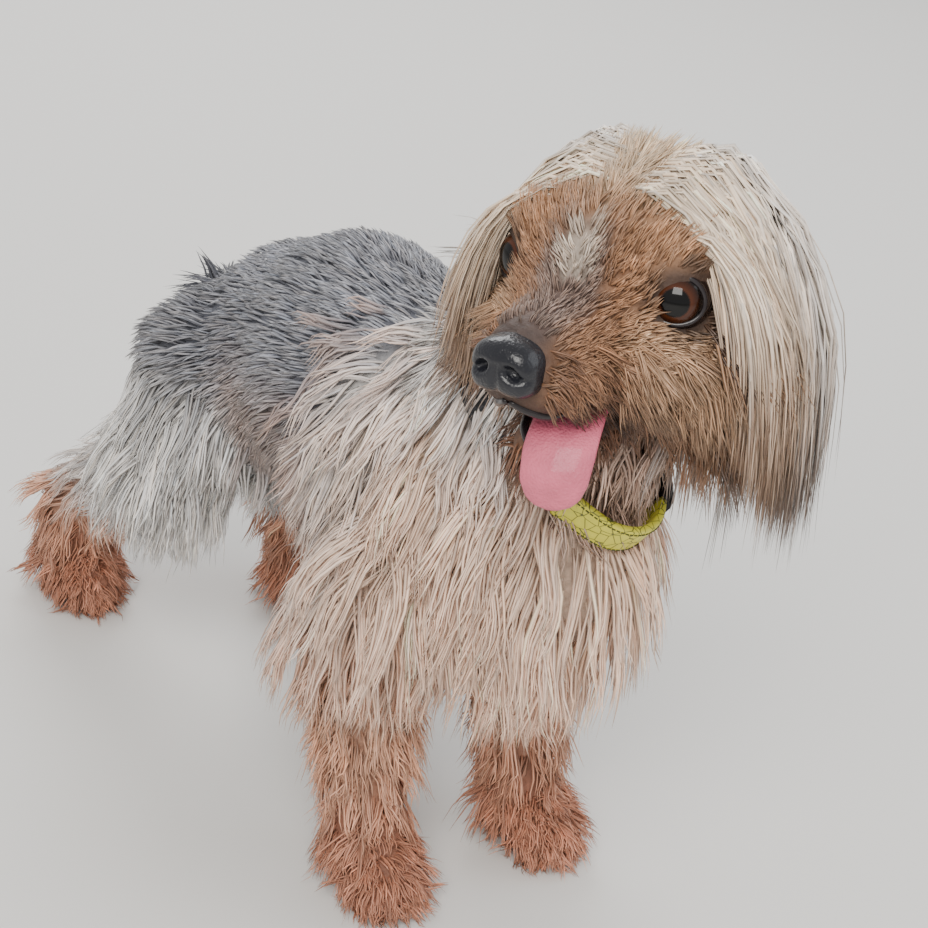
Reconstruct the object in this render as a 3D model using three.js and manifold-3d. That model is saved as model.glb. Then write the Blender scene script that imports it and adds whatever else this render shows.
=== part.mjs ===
// A standing Yorkshire terrier, life size, as a still model. Millimetres, +Z up.
// The dog faces -Y and its left side is +X. Its head is turned to its right, its mouth is open
// with the tongue out, and its right hind leg is stretched back.
// The flesh and the dense base of the coat are one smooth form, parted by thin cuts.
// The long coat is flat, tapered locks that grow from each part and hang along its lie.
import * as THREE from "three";
import { mergeVertices } from "three/addons/utils/BufferGeometryUtils.js";
import Module from "manifold-3d";

const wasm = await Module();
wasm.setup();

const v = (x, y, z) => new THREE.Vector3(x, y, z);
const mix = THREE.MathUtils.lerp;
const DOWN = v(0, 0, -1);

// Driving dimensions
const WITHERS = 200; // height at the shoulder, over the short coat
const RUMP_Y = 139; // centre of the pelvis, behind the front feet
const CHEST_Z = 0.76 * WITHERS;
const TRACK = 31; // half the distance between the front feet
const HIND_TRACK = 41; // half the distance between the hind feet
const GAP = 0.3; // clearance that touching pieces keep
const SHORT_COAT = 8; // depth of the clipped coat on the back
const LONG_CORE = 4; // depth of the dense base under the long coat

// Where each leg's joints lie along the body
const LEGS = {
  right: { side: -1, elbow: 20, wrist: 6, toe: -8, knee: 143, hock: 216, heel: 223, hindToe: 208 },
  left: { side: 1, elbow: 18, wrist: 4, toe: -10, knee: 126, hock: 180, heel: 174, hindToe: 160 },
};

// The head's frame: x to its left, y backwards, z up, about the middle of the skull
const SKULL_RADIUS = 30;
const HEAD_YAW = THREE.MathUtils.degToRad(69.7); // turned to the dog's right
const HEAD_ROLL = THREE.MathUtils.degToRad(-3.5);
const HEAD_PITCH = THREE.MathUtils.degToRad(-2);
const HEAD_CENTRE = v(-0.5, -57, 1.21 * WITHERS);
const headFrame = new THREE.Matrix4()
  .makeTranslation(HEAD_CENTRE)
  .multiply(new THREE.Matrix4().makeRotationZ(-HEAD_YAW))
  .multiply(new THREE.Matrix4().makeRotationX(HEAD_PITCH))
  .multiply(new THREE.Matrix4().makeRotationY(HEAD_ROLL));
const onHead = (x, y, z) => v(x, y, z).applyMatrix4(headFrame);
const alongHead = (x, y, z) => v(x, y, z).transformDirection(headFrame);

const EYE = { x: 22.5, y: -17, z: 4, radius: 9.5 };
const NOSE = { y: -60, z: -9, width: 19, height: 15, depth: 7.5, box: 14 };
const JAW_OPEN = { y: -41, z: -38 }; // the tip of the lower jaw

// A bone is a tapered round limb from a to b. pad is the depth of dense coat over the skin there.
const bone = (a, ra, b, rb, padA, padB = padA, flat = 1) => ({ a, ra, b, rb, padA, padB, flat });

const trunk = {
  rump: bone(v(0, RUMP_Y, 128), 30, v(0, 114, 143), 34, SHORT_COAT, SHORT_COAT, 0.92),
  loin: bone(v(0, 114, 143), 34, v(0, 78, 153), 40, SHORT_COAT, SHORT_COAT, 0.86),
  ribs: bone(v(0, 78, 153), 40, v(0, 24, CHEST_Z), 43, SHORT_COAT, SHORT_COAT, 0.8),
  breast: bone(v(0, 24, CHEST_Z), 43, v(0, -22, 143), 34, SHORT_COAT, LONG_CORE + 2, 0.84),
};
const neckBone = bone(v(0, -6, 165), 29, v(8, -47, 218), 23, LONG_CORE - 1);
const tailBones = [
  bone(v(0, 158, 141), 9, v(0, 180, 134), 7.5, LONG_CORE),
  bone(v(0, 180, 134), 7.5, v(0, 191, 116), 5, LONG_CORE),
];
const legBones = Object.fromEntries(
  Object.entries(LEGS).map(([name, leg]) => {
    const s = leg.side;
    const fore = s * TRACK;
    const hind = s * HIND_TRACK;
    return [
      name,
      {
        arm: bone(v(fore * 0.84, -2, 126), 20, v(fore, leg.elbow, 98), 16, LONG_CORE + 1),
        foreleg: bone(v(fore, leg.elbow, 98), 14, v(fore, leg.wrist, 28), 8, LONG_CORE + 1, LONG_CORE),
        forepaw: bone(v(fore, leg.wrist - 2, 14), 10, v(fore + s, leg.toe, 10), 10, LONG_CORE),
        thigh: bone(v(s * 20, RUMP_Y + 2, 127), 27, v(s * 34, leg.knee, 104), 16, SHORT_COAT, LONG_CORE + 2),
        shank: bone(v(s * 34, leg.knee, 104), 15, v(hind, leg.hock, 46), 8.5, LONG_CORE + 2, LONG_CORE),
        hock: bone(v(hind, leg.hock, 46), 8.5, v(hind, leg.heel, 14), 8, LONG_CORE),
        hindpaw: bone(v(hind, leg.heel, 13), 9, v(hind + s, leg.hindToe, 10), 9, LONG_CORE),
      },
    ];
  }),
);

const headBone = (a, ra, b, rb, pad) => bone(onHead(...a), ra, onHead(...b), rb, pad);
const skullBones = [
  headBone([0, 5, 3], SKULL_RADIUS, [0, -5, 1], SKULL_RADIUS - 2, LONG_CORE),
  headBone([18, -14, 11], 11.5, [-18, -14, 11], 11.5, 2),
  headBone([0, -24, -10], 15, [0, -51, -11], 10.5, 3),
  headBone([6, -49, -16], 7, [-6, -49, -16], 7, 2.5),
];
for (const s of [-1, 1]) skullBones.push(headBone([s * 19, -5, -12], 17, [s * 14, -19, -12], 13, 4));
const jawBone = headBone([0, -12, -27], 12, [0, JAW_OPEN.y, JAW_OPEN.z], 6.5, 3);
// The room that each dropped ear takes at the side of the skull, which the fall of hair clears
const earRoom = [-1, 1].map((s) => headBone([s * 33, 13, 15], 4, [s * 39, 15, -14], 4, 0));

// Signed depth outside one bone: negative inside it
function boneDepth(p, b) {
  const squash = 1 / b.flat;
  const px = (p.x - b.a.x) * squash;
  const py = p.y - b.a.y;
  const pz = p.z - b.a.z;
  const bx = (b.b.x - b.a.x) * squash;
  const by = b.b.y - b.a.y;
  const bz = b.b.z - b.a.z;
  const t = THREE.MathUtils.clamp((px * bx + py * by + pz * bz) / (bx * bx + by * by + bz * bz), 0, 1);
  const away = Math.hypot(px - bx * t, py - by * t, pz - bz * t);
  return away - mix(b.ra + b.padA, b.rb + b.padB, t);
}

// The smooth union of bones: blend is how wide the fillets between them are
const smoothUnion = (bones, blend) => (p) =>
  bones.reduce((least, b) => {
    const d = boneDepth(p, b);
    const h = Math.max(blend - Math.abs(least - d), 0) / blend;
    return Math.min(least, d) - (h * h * blend) / 4;
  }, 1e3);

const BODY_BLEND = 12;
const FACE_BLEND = 5;
const limbBones = Object.values(legBones).flatMap((leg) => Object.values(leg));
const bodyBones = [...Object.values(trunk), neckBone, ...limbBones, ...tailBones];
const bodyField = smoothUnion(bodyBones, BODY_BLEND);
const headField = smoothUnion([...skullBones, neckBone], FACE_BLEND);
// The lower jaw ends at the line of the mouth, which runs forward from the corner of the lips
const MOUTH = { corner: onHead(0, -14, -24), up: alongHead(0, -0.11, 0.99) };
const jawField = (p) => Math.max(boneDepth(p, jawBone), p.clone().sub(MOUTH.corner).dot(MOUTH.up));
const everything = smoothUnion([...bodyBones, ...skullBones, jawBone, ...earRoom], FACE_BLEND);

const PROBE = 0.5;
function outward(field, p) {
  const slope = (dx, dy, dz) => field(v(p.x + dx, p.y + dy, p.z + dz)) - field(v(p.x - dx, p.y - dy, p.z - dz));
  return v(slope(PROBE, 0, 0), slope(0, PROBE, 0), slope(0, 0, PROBE)).normalize();
}

// The corners of a cube are numbered by bits for x, y and z. An edge is its lower corner and its
// axis bit.
const CUBE_CORNERS = [0, 1, 2, 3, 4, 5, 6, 7];
const AXIS_BITS = [1, 2, 4];
const CUBE_EDGES = CUBE_CORNERS.flatMap((c) => AXIS_BITS.filter((bit) => !(c & bit)).map((bit) => [c, bit]));
const edgeKey = (c, bit) => 8 * c + bit;
const cornerStep = (c) => [c & 1, (c >> 1) & 1, (c >> 2) & 1];

// Which sheet of the surface each crossed edge of a cube belongs to. Where a face is crossed on
// all four edges, the sheets close round its inner corners.
function sheetsOf(inside) {
  const crossed = CUBE_EDGES.filter(([c, bit]) => inside[c] !== inside[c | bit]);
  const sheet = new Map(crossed.map(([c, bit]) => [edgeKey(c, bit), edgeKey(c, bit)]));
  const join = (a, b) => {
    const [from, to] = [sheet.get(a), sheet.get(b)];
    for (const [key, root] of sheet) if (root === from) sheet.set(key, to);
  };
  for (const bit of AXIS_BITS)
    for (const base of [0, bit]) {
      const [p, q] = AXIS_BITS.filter((other) => other !== bit);
      const edges = [edgeKey(base, p), edgeKey(base, q), edgeKey(base | p, q), edgeKey(base | q, p)];
      const cut = edges.filter((key) => sheet.has(key));
      if (cut.length === 2) join(cut[0], cut[1]);
      if (cut.length === 4)
        for (const c of [base, base | p, base | q, base | p | q])
          if (inside[c]) join(edgeKey(c & ~p, p), edgeKey(c & ~q, q));
    }
  return sheet;
}

// A closed mesh of the surface where the field is zero, with one point for each sheet of it that
// crosses a cube of a grid
function surfaceNet(field, low, high, step) {
  const size = high.clone().sub(low);
  const count = [size.x, size.y, size.z].map((length) => Math.ceil(length / step) + 1);
  const at = (i, j, k) => (i * count[1] + j) * count[2] + k;
  const place = (i, j, k) => v(low.x + i * step, low.y + j * step, low.z + k * step);
  const middle = low.clone().add(high).multiplyScalar(0.5);
  const half = high.clone().sub(low).multiplyScalar(0.5).subScalar(0.5 * step);
  const beyondBox = (p) => {
    const away = p.clone().sub(middle);
    return Math.max(Math.abs(away.x) - half.x, Math.abs(away.y) - half.y, Math.abs(away.z) - half.z);
  };
  const closed = (p) => Math.max(field(p), beyondBox(p));
  const value = new Float64Array(count[0] * count[1] * count[2]);
  for (let i = 0; i < count[0]; i++)
    for (let j = 0; j < count[1]; j++)
      for (let k = 0; k < count[2]; k++) value[at(i, j, k)] = closed(place(i, j, k)) + 1e-7;
  const points = [];
  const pointOf = new Map();
  for (let i = 0; i + 1 < count[0]; i++)
    for (let j = 0; j + 1 < count[1]; j++)
      for (let k = 0; k + 1 < count[2]; k++) {
        const corners = CUBE_CORNERS.map((c) => cornerStep(c)).map(([di, dj, dk]) => [i + di, j + dj, k + dk]);
        const values = corners.map((c) => value[at(...c)]);
        const inside = values.map((f) => f < 0);
        if (inside.every((is) => is === inside[0])) continue;
        const sheets = sheetsOf(inside);
        for (const root of new Set(sheets.values())) {
          const sum = v(0, 0, 0);
          const cut = CUBE_EDGES.filter(([c, bit]) => sheets.get(edgeKey(c, bit)) === root);
          for (const [c, bit] of cut) {
            const share = values[c] / (values[c] - values[c | bit]);
            sum.add(place(...corners[c]).lerp(place(...corners[c | bit]), share));
            pointOf.set(at(i, j, k) * 64 + edgeKey(c, bit), points.length);
          }
          const p = sum.divideScalar(cut.length);
          const start = p.clone();
          for (let turn = 0; turn < 2; turn++) p.addScaledVector(outward(closed, p), -0.9 * closed(p));
          points.push(p.sub(start).clampLength(0, 0.45 * step).add(start));
        }
      }
  const triangles = [];
  for (let i = 0; i + 1 < count[0]; i++)
    for (let j = 0; j + 1 < count[1]; j++)
      for (let k = 0; k + 1 < count[2]; k++) {
        const here = value[at(i, j, k)] < 0;
        for (const bit of AXIS_BITS) {
          const [di, dj, dk] = cornerStep(bit);
          if (here === value[at(i + di, j + dj, k + dk)] < 0) continue;
          // The four cubes round this edge, in turn about its axis
          const p = bit === 4 ? 1 : bit * 2;
          const q = p === 4 ? 1 : p * 2;
          const ring = [0, p, p | q, q].map((c) => {
            const [ci, cj, ck] = cornerStep(c);
            return pointOf.get(at(i - ci, j - cj, k - ck) * 64 + edgeKey(c, bit));
          });
          const [a, b, c, d] = here ? ring : ring.reverse();
          const short = points[a].distanceTo(points[c]) < points[b].distanceTo(points[d]);
          triangles.push(...(short ? [a, b, c, a, c, d] : [a, b, d, b, c, d]));
        }
      }
  return solid(points, triangles);
}

// A closed solid from its corners and its triangles
function solid(points, triangles) {
  return new wasm.Manifold(
    new wasm.Mesh({
      numProp: 3,
      vertProperties: new Float32Array(points.flatMap((p) => [p.x, p.y, p.z])),
      triVerts: new Uint32Array(triangles),
    }),
  );
}

// A closed solid from a three.js geometry
function solidOf(geometry) {
  geometry.deleteAttribute("normal");
  geometry.deleteAttribute("uv");
  const merged = mergeVertices(geometry, 1e-4);
  return new wasm.Manifold(
    new wasm.Mesh({
      numProp: 3,
      vertProperties: new Float32Array(merged.attributes.position.array),
      triVerts: new Uint32Array(merged.index.array),
    }),
  );
}

function largest(made) {
  return made.decompose().sort((a, b) => b.volume() - a.volume())[0];
}

// Rings of points joined into a closed skin. Each side of a ring is split towards the ring's
// edge points, so that both faces of a thin strip are split alike. The tip may be one point.
function loft(rings, tip) {
  const sides = rings[0].length;
  const points = rings.flat();
  const triangles = [];
  for (let r = 0; r + 1 < rings.length; r++)
    for (let s = 0; s < sides; s++) {
      const a = r * sides + s;
      const b = r * sides + ((s + 1) % sides);
      const [c, d] = [a + sides, b + sides];
      triangles.push(...(s % 2 ? [a, b, c, b, d, c] : [a, d, c, a, b, d]));
    }
  const cap = (first, flip) => {
    for (let s = 1; s + 1 < sides; s++)
      triangles.push(...(flip ? [first, first + s + 1, first + s] : [first, first + s, first + s + 1]));
  };
  cap(0, true);
  const last = (rings.length - 1) * sides;
  if (tip) {
    points.push(tip);
    for (let s = 0; s < sides; s++) triangles.push(last + s, last + ((s + 1) % sides), points.length - 1);
  } else cap(last, false);
  const made = solid(points, triangles);
  if (made.volume() > 0) return made;
  return solid(points, triangles.map((_, i) => triangles[i - (i % 3) + (2 - (i % 3))]));
}

// A seeded draw, so that the locks vary in the same way every time
let seed = 7;
function draw(low, high) {
  seed = (seed * 16807) % 2147483647;
  return mix(low, high, seed / 2147483647);
}

// Where a ray from inside the form leaves its surface
function surfacePoint(field, from, way) {
  const p = from.clone();
  const d = way.clone().normalize();
  for (let i = 0; i < 60; i++) {
    const depth = field(p);
    if (depth > -0.05) break;
    p.addScaledVector(d, Math.max(0.3, -0.7 * depth));
  }
  return p;
}

// The share of a lock's full width at a share t of the way along it
const lockProfile = (t) => 0.4 + 1.9 * t - 2 * t * t;
const ROOT_SINK = 3.5;

// The line that a lock follows: out of the coat along the comb, turning down as it falls, and
// never nearer to the form under it than its own lift.
function lockLine(root, comb, o) {
  const line = [];
  const up = outward(everything, root);
  const heading = comb.clone().normalize();
  heading.addScaledVector(up, o.rise - heading.dot(up)).normalize();
  line.push({ p: root.clone().addScaledVector(up, -ROOT_SINK).addScaledVector(heading, -1), up });
  const p = root.clone().addScaledVector(up, 0.5);
  const stride = o.length / o.rings;
  const sway = v(0, 0, 0).crossVectors(heading, up).normalize();
  for (let i = 1; i <= o.rings; i++) {
    const t = i / o.rings;
    p.addScaledVector(heading, stride).addScaledVector(sway, o.sway * Math.sin(t * 4) * stride);
    const out = outward(everything, p);
    const lift = mix(1.2, o.lift, Math.min(1, o.swell * t)) + o.over;
    const depth = everything(p);
    if (depth < lift) p.addScaledVector(out, lift - depth);
    line.push({ p: p.clone(), up: out });
    heading.lerp(DOWN, o.fall).normalize();
  }
  return line;
}

// One lock: a flat tapered strip on its line. grow makes it fatter all round, to cut room for it.
function lockSolid(line, o, grow) {
  const before = v(0, 0, 0);
  const rings = line.slice(0, -1).map((at, i) => {
    const along = line[i + 1].p.clone().sub(at.p).normalize();
    const p = i ? at.p : at.p.clone().addScaledVector(along, -2 * grow);
    // The strip never turns over along its way
    const side = v(0, 0, 0).crossVectors(along, at.up).normalize();
    if (side.dot(before) < 0) side.negate();
    before.copy(side);
    const flat = v(0, 0, 0).crossVectors(side, along).normalize();
    const share = lockProfile(i / o.rings);
    const half = (o.width / 2) * share + grow;
    const thick = (o.thick / 2) * share;
    // The sides of the wider section are split towards the same edges as those of the lock
    const [over, under] = [grow - thick, -grow - thick];
    const top = [0, thick + 1.2 * grow];
    const section = grow
      ? [[-half, over], top, [half, over], [half, -thick], [half, under], [-half, under]]
      : [[-half, -thick], top, [half, -thick]];
    return section.map(([x, z]) => p.clone().addScaledVector(side, x).addScaledVector(flat, z));
  });
  const end = line.at(-1).p;
  const past = end.clone().sub(line.at(-2).p).normalize();
  return loft(rings, end.clone().addScaledVector(past, 2 * grow));
}

// Locks are gathered here by node, then joined to their node
const locks = {};
const OVERLAP = 3.4;
let grown = 0;
// length, width and thick are its size; lift is how far it stands off the form; rise, fall and sway
// turn it out, down and sideways; swell is how fast it lifts
const LOCK = {
  length: 30,
  width: 11,
  thick: 3.2,
  lift: 3,
  fall: 0.35,
  rise: 0.2,
  sway: 0,
  swell: 1.8,
  rings: 3,
};
function growLock(field, from, way, comb, more = {}) {
  const o = { ...LOCK, ...more };
  o.length *= draw(0.9, 1.1);
  o.width *= draw(0.9, 1.12);
  o.sway += draw(-0.12, 0.12);
  // Each lock lies over or under the one beside it
  o.over = OVERLAP * (grown++ % 2);
  const root = surfacePoint(field, from, way);
  const node = o.node ?? ownerOf(root);
  if (node) (locks[node] ??= []).push({ line: lockLine(root, comb, o), o });
}

// Evenly spaced shares from 0 to 1
const shares = (n) => Array.from({ length: n }, (_, i) => (n === 1 ? 0.5 : i / (n - 1)));

// Plain solids of the finer parts

// The nose pad with its two nostrils and the groove under them
const NOSTRIL = { x: 4.6, y: -6.5, z: -0.6, radius: 2.1 };
const NOSE_TAPER = 0.16;
function noseSolid(grow) {
  const inverse = headFrame.clone().invert();
  const field = (p) => {
    const q = p.clone().applyMatrix4(inverse);
    const out = Math.abs(q.x);
    const [y, z] = [q.y - NOSE.y, q.z - NOSE.z];
    const shares = [out / (NOSE.width / 2), y / NOSE.depth, (z + NOSE_TAPER * out) / (NOSE.height / 2)];
    const pad = (Math.cbrt(shares.reduce((sum, part) => sum + Math.abs(part) ** 3, 0)) - 1) * NOSE.depth - grow;
    if (grow) return pad;
    const hole = Math.hypot((out - NOSTRIL.x) / 1.4, (y - NOSTRIL.y) / 2, z - NOSTRIL.z) - NOSTRIL.radius;
    const groove = Math.hypot(out, (y + 8.2) * 0.6) - 1.1;
    return Math.max(pad, -hole, z < 0 ? -groove : -1);
  };
  const centre = onHead(0, NOSE.y, NOSE.z);
  const [low, high] = [-NOSE.box, NOSE.box].map((reach) => centre.clone().addScalar(reach));
  return surfaceNet(field, low, high, grow ? 3.4 : 2.4).simplify(0.2);
}

// The tongue: a flat strip that leaves the mouth on its left side and hangs over the lip
const TONGUE = { width: 18, thick: 3 };
function tongueSolid(grow) {
  const route = new THREE.CatmullRomCurve3([
    onHead(2, -20, -22),
    onHead(5, -34, -26),
    onHead(9, -46, -31),
    onHead(11, -52, -40),
    onHead(11.5, -52.5, -49),
  ]);
  const across = alongHead(1, 0.45, 0.1);
  const width = [0.8, 1, 1.06, 1.06, 0.98, 0.62];
  const rings = width.map((share, i) => {
    const t = i / (width.length - 1);
    const p = route.getPoint(t);
    const along = route.getTangent(t);
    const flat = v(0, 0, 0).crossVectors(across, along).normalize();
    const side = v(0, 0, 0).crossVectors(along, flat).normalize();
    const half = (TONGUE.width / 2) * share + grow;
    const thick = TONGUE.thick / 2 + grow;
    // The middle groove and the round edges of the tongue
    return [
      [-1, 0],
      [-0.7, 0.9],
      [0, 0.55],
      [0.7, 0.9],
      [1, 0],
      [0.7, -0.9],
      [0, -1],
      [-0.7, -0.9],
    ].map(([x, z]) => p.clone().addScaledVector(side, x * half).addScaledVector(flat, z * thick));
  });
  const end = route.getPoint(1).addScaledVector(route.getTangent(1), 2.4 + grow);
  return loft(rings, end);
}

// An ear: a dropped flap, cupped on its inner face, wide at the base and pointed at the tip
const EAR = { width: 24, thick: 2.4, cup: 4 };
function earSolid(s, grow) {
  const route = new THREE.CatmullRomCurve3([
    onHead(s * 27, 12, 22),
    onHead(s * 37, 13, 19),
    onHead(s * 41, 14, 4),
    onHead(s * 41, 15, -12),
  ]);
  const back = alongHead(0, 1, 0);
  const rings = [0.7, 1, 0.95, 0.78, 0.45].map((share, i) => {
    const t = i / 4.6;
    const along = route.getTangent(t);
    const p = route.getPoint(t).addScaledVector(along, i ? 0 : -2 * grow);
    const out = v(0, 0, 0).crossVectors(back, along).multiplyScalar(s).normalize();
    const half = (EAR.width / 2) * share;
    const wide = 1 + (2 * grow) / half;
    const skin = (x, depth) =>
      p
        .clone()
        .addScaledVector(back, x * wide * half)
        .addScaledVector(out, -EAR.cup * (x * wide) ** 2 * share + depth);
    const thick = EAR.thick / 2 + grow;
    const face = (depth) => [-0.55, 0, 0.55].map((x) => skin(x, depth));
    return [skin(-1, 0), ...face(thick), skin(1, 0), ...face(-thick).reverse()];
  });
  return loft(rings, route.getPoint(1).addScaledVector(route.getTangent(1), 3 * grow));
}

// The collar: a webbing band round the neck, its side-release buckle and the bright front panel
const COLLAR = { width: 10, thick: 2.2, share: 0.45, clear: 1.4 };
const collarAxis = v(0.2, -0.56, 0.8).normalize();
const collarCentre = neckBone.a.clone().lerp(neckBone.b, COLLAR.share);
const acrossCollar = v(1, 0, 0).addScaledVector(collarAxis, -collarAxis.x).normalize();
const throat = v(0, 0, 0).crossVectors(acrossCollar, collarAxis).normalize();
// A point of the collar's inner face at an angle from the throat. Its whole width clears the neck.
function collarPoint(angle, width) {
  const way = throat.clone().multiplyScalar(Math.cos(angle)).addScaledVector(acrossCollar, Math.sin(angle));
  const reaches = [-0.5, 0, 0.5].map((share) => {
    const from = collarCentre.clone().addScaledVector(collarAxis, share * width);
    return surfacePoint(bodyField, from, way).sub(from).length();
  });
  return { p: collarCentre.clone().addScaledVector(way, Math.max(...reaches) + COLLAR.clear), way };
}
function collarArc(from, to, width, thick, steps, grow) {
  const rings = shares(steps + 1).map((t) => {
    const { p, way } = collarPoint(mix(from, to, t), width);
    const corner = (out, along) =>
      p
        .clone()
        .addScaledVector(way, out)
        .addScaledVector(collarAxis, along * (width / 2 + grow));
    return [corner(-grow, -1), corner(thick + grow, -1), corner(thick + grow, 1), corner(-grow, 1)];
  });
  return loft(rings);
}

const BUCKLE = { at: 0.62, half: 0.19, thick: 5 };
const PANEL = { from: -0.5, to: BUCKLE.at - BUCKLE.half };
const collarPart = (from, to, wider, thick, steps) => (grow) =>
  collarArc(from, to, COLLAR.width + wider, thick, steps, grow);
const JOIN = 0.01; // the angle left between the collar's pieces
const TURN = 2 * Math.PI;
const collarPieces = {
  collar_strap: collarPart(BUCKLE.at + BUCKLE.half + JOIN, TURN + PANEL.from - JOIN, 0, COLLAR.thick, 16),
  collar_panel: collarPart(PANEL.from, PANEL.to - JOIN, 1, COLLAR.thick + 0.6, 7),
  collar_buckle: collarPart(BUCKLE.at - BUCKLE.half, BUCKLE.at + BUCKLE.half, 3, BUCKLE.thick, 3),
};

// The form is parted by planes. Each is a point on it and the way it faces.
const plane = (point, way) => ({ point, way: way.normalize() });
const headCut = plane(v(4, -35, 199), v(0.1, -0.5, 0.86));
const neckCut = plane(v(1, -13, 174), v(0.05, -0.35, 0.93));
const girthCut = plane(v(0, 34, 0), v(0, 1, 0));
const flankCut = plane(v(0, 98, 0), v(0, 1, 0));
const elbowCut = plane(v(0, 0, 91), v(0, 0, -1));
const wristCut = plane(v(0, 0, 30), v(0, 0, -1));
const heelCut = plane(v(0, 0, 27), v(0, 0, -1));
const tailCut = plane(v(0, 183, 0), v(0, 1, 0));
const floor = plane(v(0, 0, -GAP / 2), v(0, 0, 1));
const midline = (s) => plane(v(0, 0, 0), v(s, 0, 0));
const hipCut = (s) => plane(v(s * 17, 148, 116), v(s * 0.8, 0, -0.6));
const kneeCut = (s, leg) => plane(v(s * 36, leg.knee + 15, 92), v(s * 0.06, 0.73, -0.67));

// Each node's share of the form: its field, the box that holds it, the step of its mesh, and the
// planes that it lies past (1) or short of (-1)
const shareOf = {};
function share(node, field, low, high, step, cuts) {
  shareOf[node] = { field, low, high, step, cuts };
}
const BODY_STEP = 10;
const LEG_STEP = 9;
const PAW_STEP = 8;
share("chest", bodyField, v(-75, -80, 66), v(75, 66, 216), BODY_STEP, [
  [-1, girthCut],
  [-1, neckCut],
  [-1, elbowCut],
]);
share("barrel", bodyField, v(-75, -4, 72), v(75, 136, 212), BODY_STEP, [
  [1, girthCut],
  [-1, flankCut],
  [-1, elbowCut],
]);
share("rump", bodyField, v(-75, 60, 80), v(75, 206, 220), BODY_STEP, [
  [1, flankCut],
  [-1, hipCut(-1)],
  [-1, hipCut(1)],
  [-1, tailCut],
]);
share("tail", bodyField, v(-25, 172, 112), v(25, 216, 172), PAW_STEP, [[1, tailCut]]);
share("neck", bodyField, v(-60, -85, 130), v(60, 64, 240), BODY_STEP, [
  [1, neckCut],
  [-1, headCut],
  [-1, girthCut],
]);
for (const [name, leg] of Object.entries(LEGS)) {
  const s = leg.side;
  const box = (y0, z0, y1, z1) => [v(s > 0 ? -4 : -75, y0, z0), v(s > 0 ? 75 : 4, y1, z1)];
  const half = [1, midline(s)];
  const fore = [half, [1, elbowCut]];
  const hind = [half, [1, hipCut(s)], [1, flankCut]];
  share(`foreleg_${name}`, bodyField, ...box(-45, 20, 60, 106), LEG_STEP, [...fore, [-1, wristCut]]);
  share(`forepaw_${name}`, bodyField, ...box(-45, -10, 45, 42), PAW_STEP, [...fore, [1, wristCut], [1, floor]]);
  share(`thigh_${name}`, bodyField, ...box(60, 60, 200, 175), BODY_STEP, [...hind, [-1, kneeCut(s, leg)]]);
  const shank = [...hind, [1, kneeCut(s, leg)]];
  share(`hindleg_${name}`, bodyField, ...box(leg.knee - 20, 16, 245, 122), LEG_STEP, [...shank, [-1, heelCut]]);
  const sole = [...shank, [1, heelCut], [1, floor]];
  share(`hindpaw_${name}`, bodyField, ...box(leg.hindToe - 30, -10, 245, 40), PAW_STEP, sole);
}
const headLow = HEAD_CENTRE.clone().subScalar(82);
const headHigh = HEAD_CENTRE.clone().addScalar(82);
share("head", headField, headLow, headHigh, 6.8, [[1, headCut]]);
share("jaw", jawField, headLow, headHigh, 6, []);

const past = (p, { point, way }) => p.clone().sub(point).dot(way);
const ownerOf = (p) =>
  Object.keys(shareOf).find((node) => {
    const { low, high, cuts } = shareOf[node];
    return new THREE.Box3(low, high).containsPoint(p) && cuts.every(([side, cut]) => side * past(p, cut) > 0);
  });

function coreSolid(node, grow) {
  const { field, low, high, step, cuts } = shareOf[node];
  let made = surfaceNet(grow ? (p) => field(p) - grow : field, low, high, step);
  for (const [side, { point, way }] of cuts) {
    const w = way.clone().multiplyScalar(side);
    made = made.trimByPlane([w.x, w.y, w.z], point.dot(w) + GAP / 2 - grow);
  }
  return largest(made);
}

// The eyes: each ball sits in an orbit whose front is open between the lids
const LIDS = { thick: 1.7, half: 7.4, above: 6, below: 5, outward: 0.21, slant: 0.8 };
function ballSolid(s, radius, columns, rows) {
  const place = headFrame.clone().multiply(new THREE.Matrix4().makeTranslation(s * EYE.x, EYE.y, EYE.z));
  return solidOf(new THREE.SphereGeometry(radius, columns, rows).applyMatrix4(place));
}
function lidOpening(s) {
  const ring = (reach, spread) =>
    shares(11)
      .slice(0, 10)
      .map((t) => {
        const a = TURN * t;
        const x = s * (EYE.x + LIDS.outward * reach) + spread * LIDS.half * Math.cos(a);
        const open = Math.sin(a) > 0 ? LIDS.above : LIDS.below;
        const z = EYE.z + spread * open * Math.sin(a) - s * LIDS.slant * Math.cos(a);
        return onHead(x, EYE.y - reach, z);
      });
  return loft([ring(2, 0.8), ring(EYE.radius + 6, 1.15)]);
}

// A tapered ridge that lies on the head along points, such as the edge of a lip
function ridge(field, points, half) {
  const route = new THREE.CatmullRomCurve3(points.map((p) => onHead(...p)));
  const line = shares(7).map((t) => {
    const p = route.getPoint(t);
    const out = outward(field, p);
    return { p: p.addScaledVector(out, -field(p) - 0.3), out };
  });
  const rings = line.slice(0, -1).map(({ p, out }, i) => {
    const along = line[i + 1].p.clone().sub(p).normalize();
    const side = v(0, 0, 0).crossVectors(along, out).normalize();
    const r = half * Math.min(1, 0.55 + i * 0.25);
    return [
      p.clone().addScaledVector(side, -r),
      p.clone().addScaledVector(out, r),
      p.clone().addScaledVector(side, r),
      p.clone().addScaledVector(out, -r),
    ];
  });
  return loft(rings, line.at(-1).p);
}
const UPPER_LIP = [[14, -16, -26], [13, -34, -26], [8, -52, -25], [0.6, -60, -20]];
const LOWER_LIP = [[13, -16, -26], [9, -32, -29], [5, -43, -31], [0.6, -50, -34]];
const jawForm = (p) => boneDepth(p, jawBone);
const lipPair = (field, points, half) =>
  [-1, 1].map((s) => ridge(field, points.map(([x, y, z]) => [s * x, y, z]), half));
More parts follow.
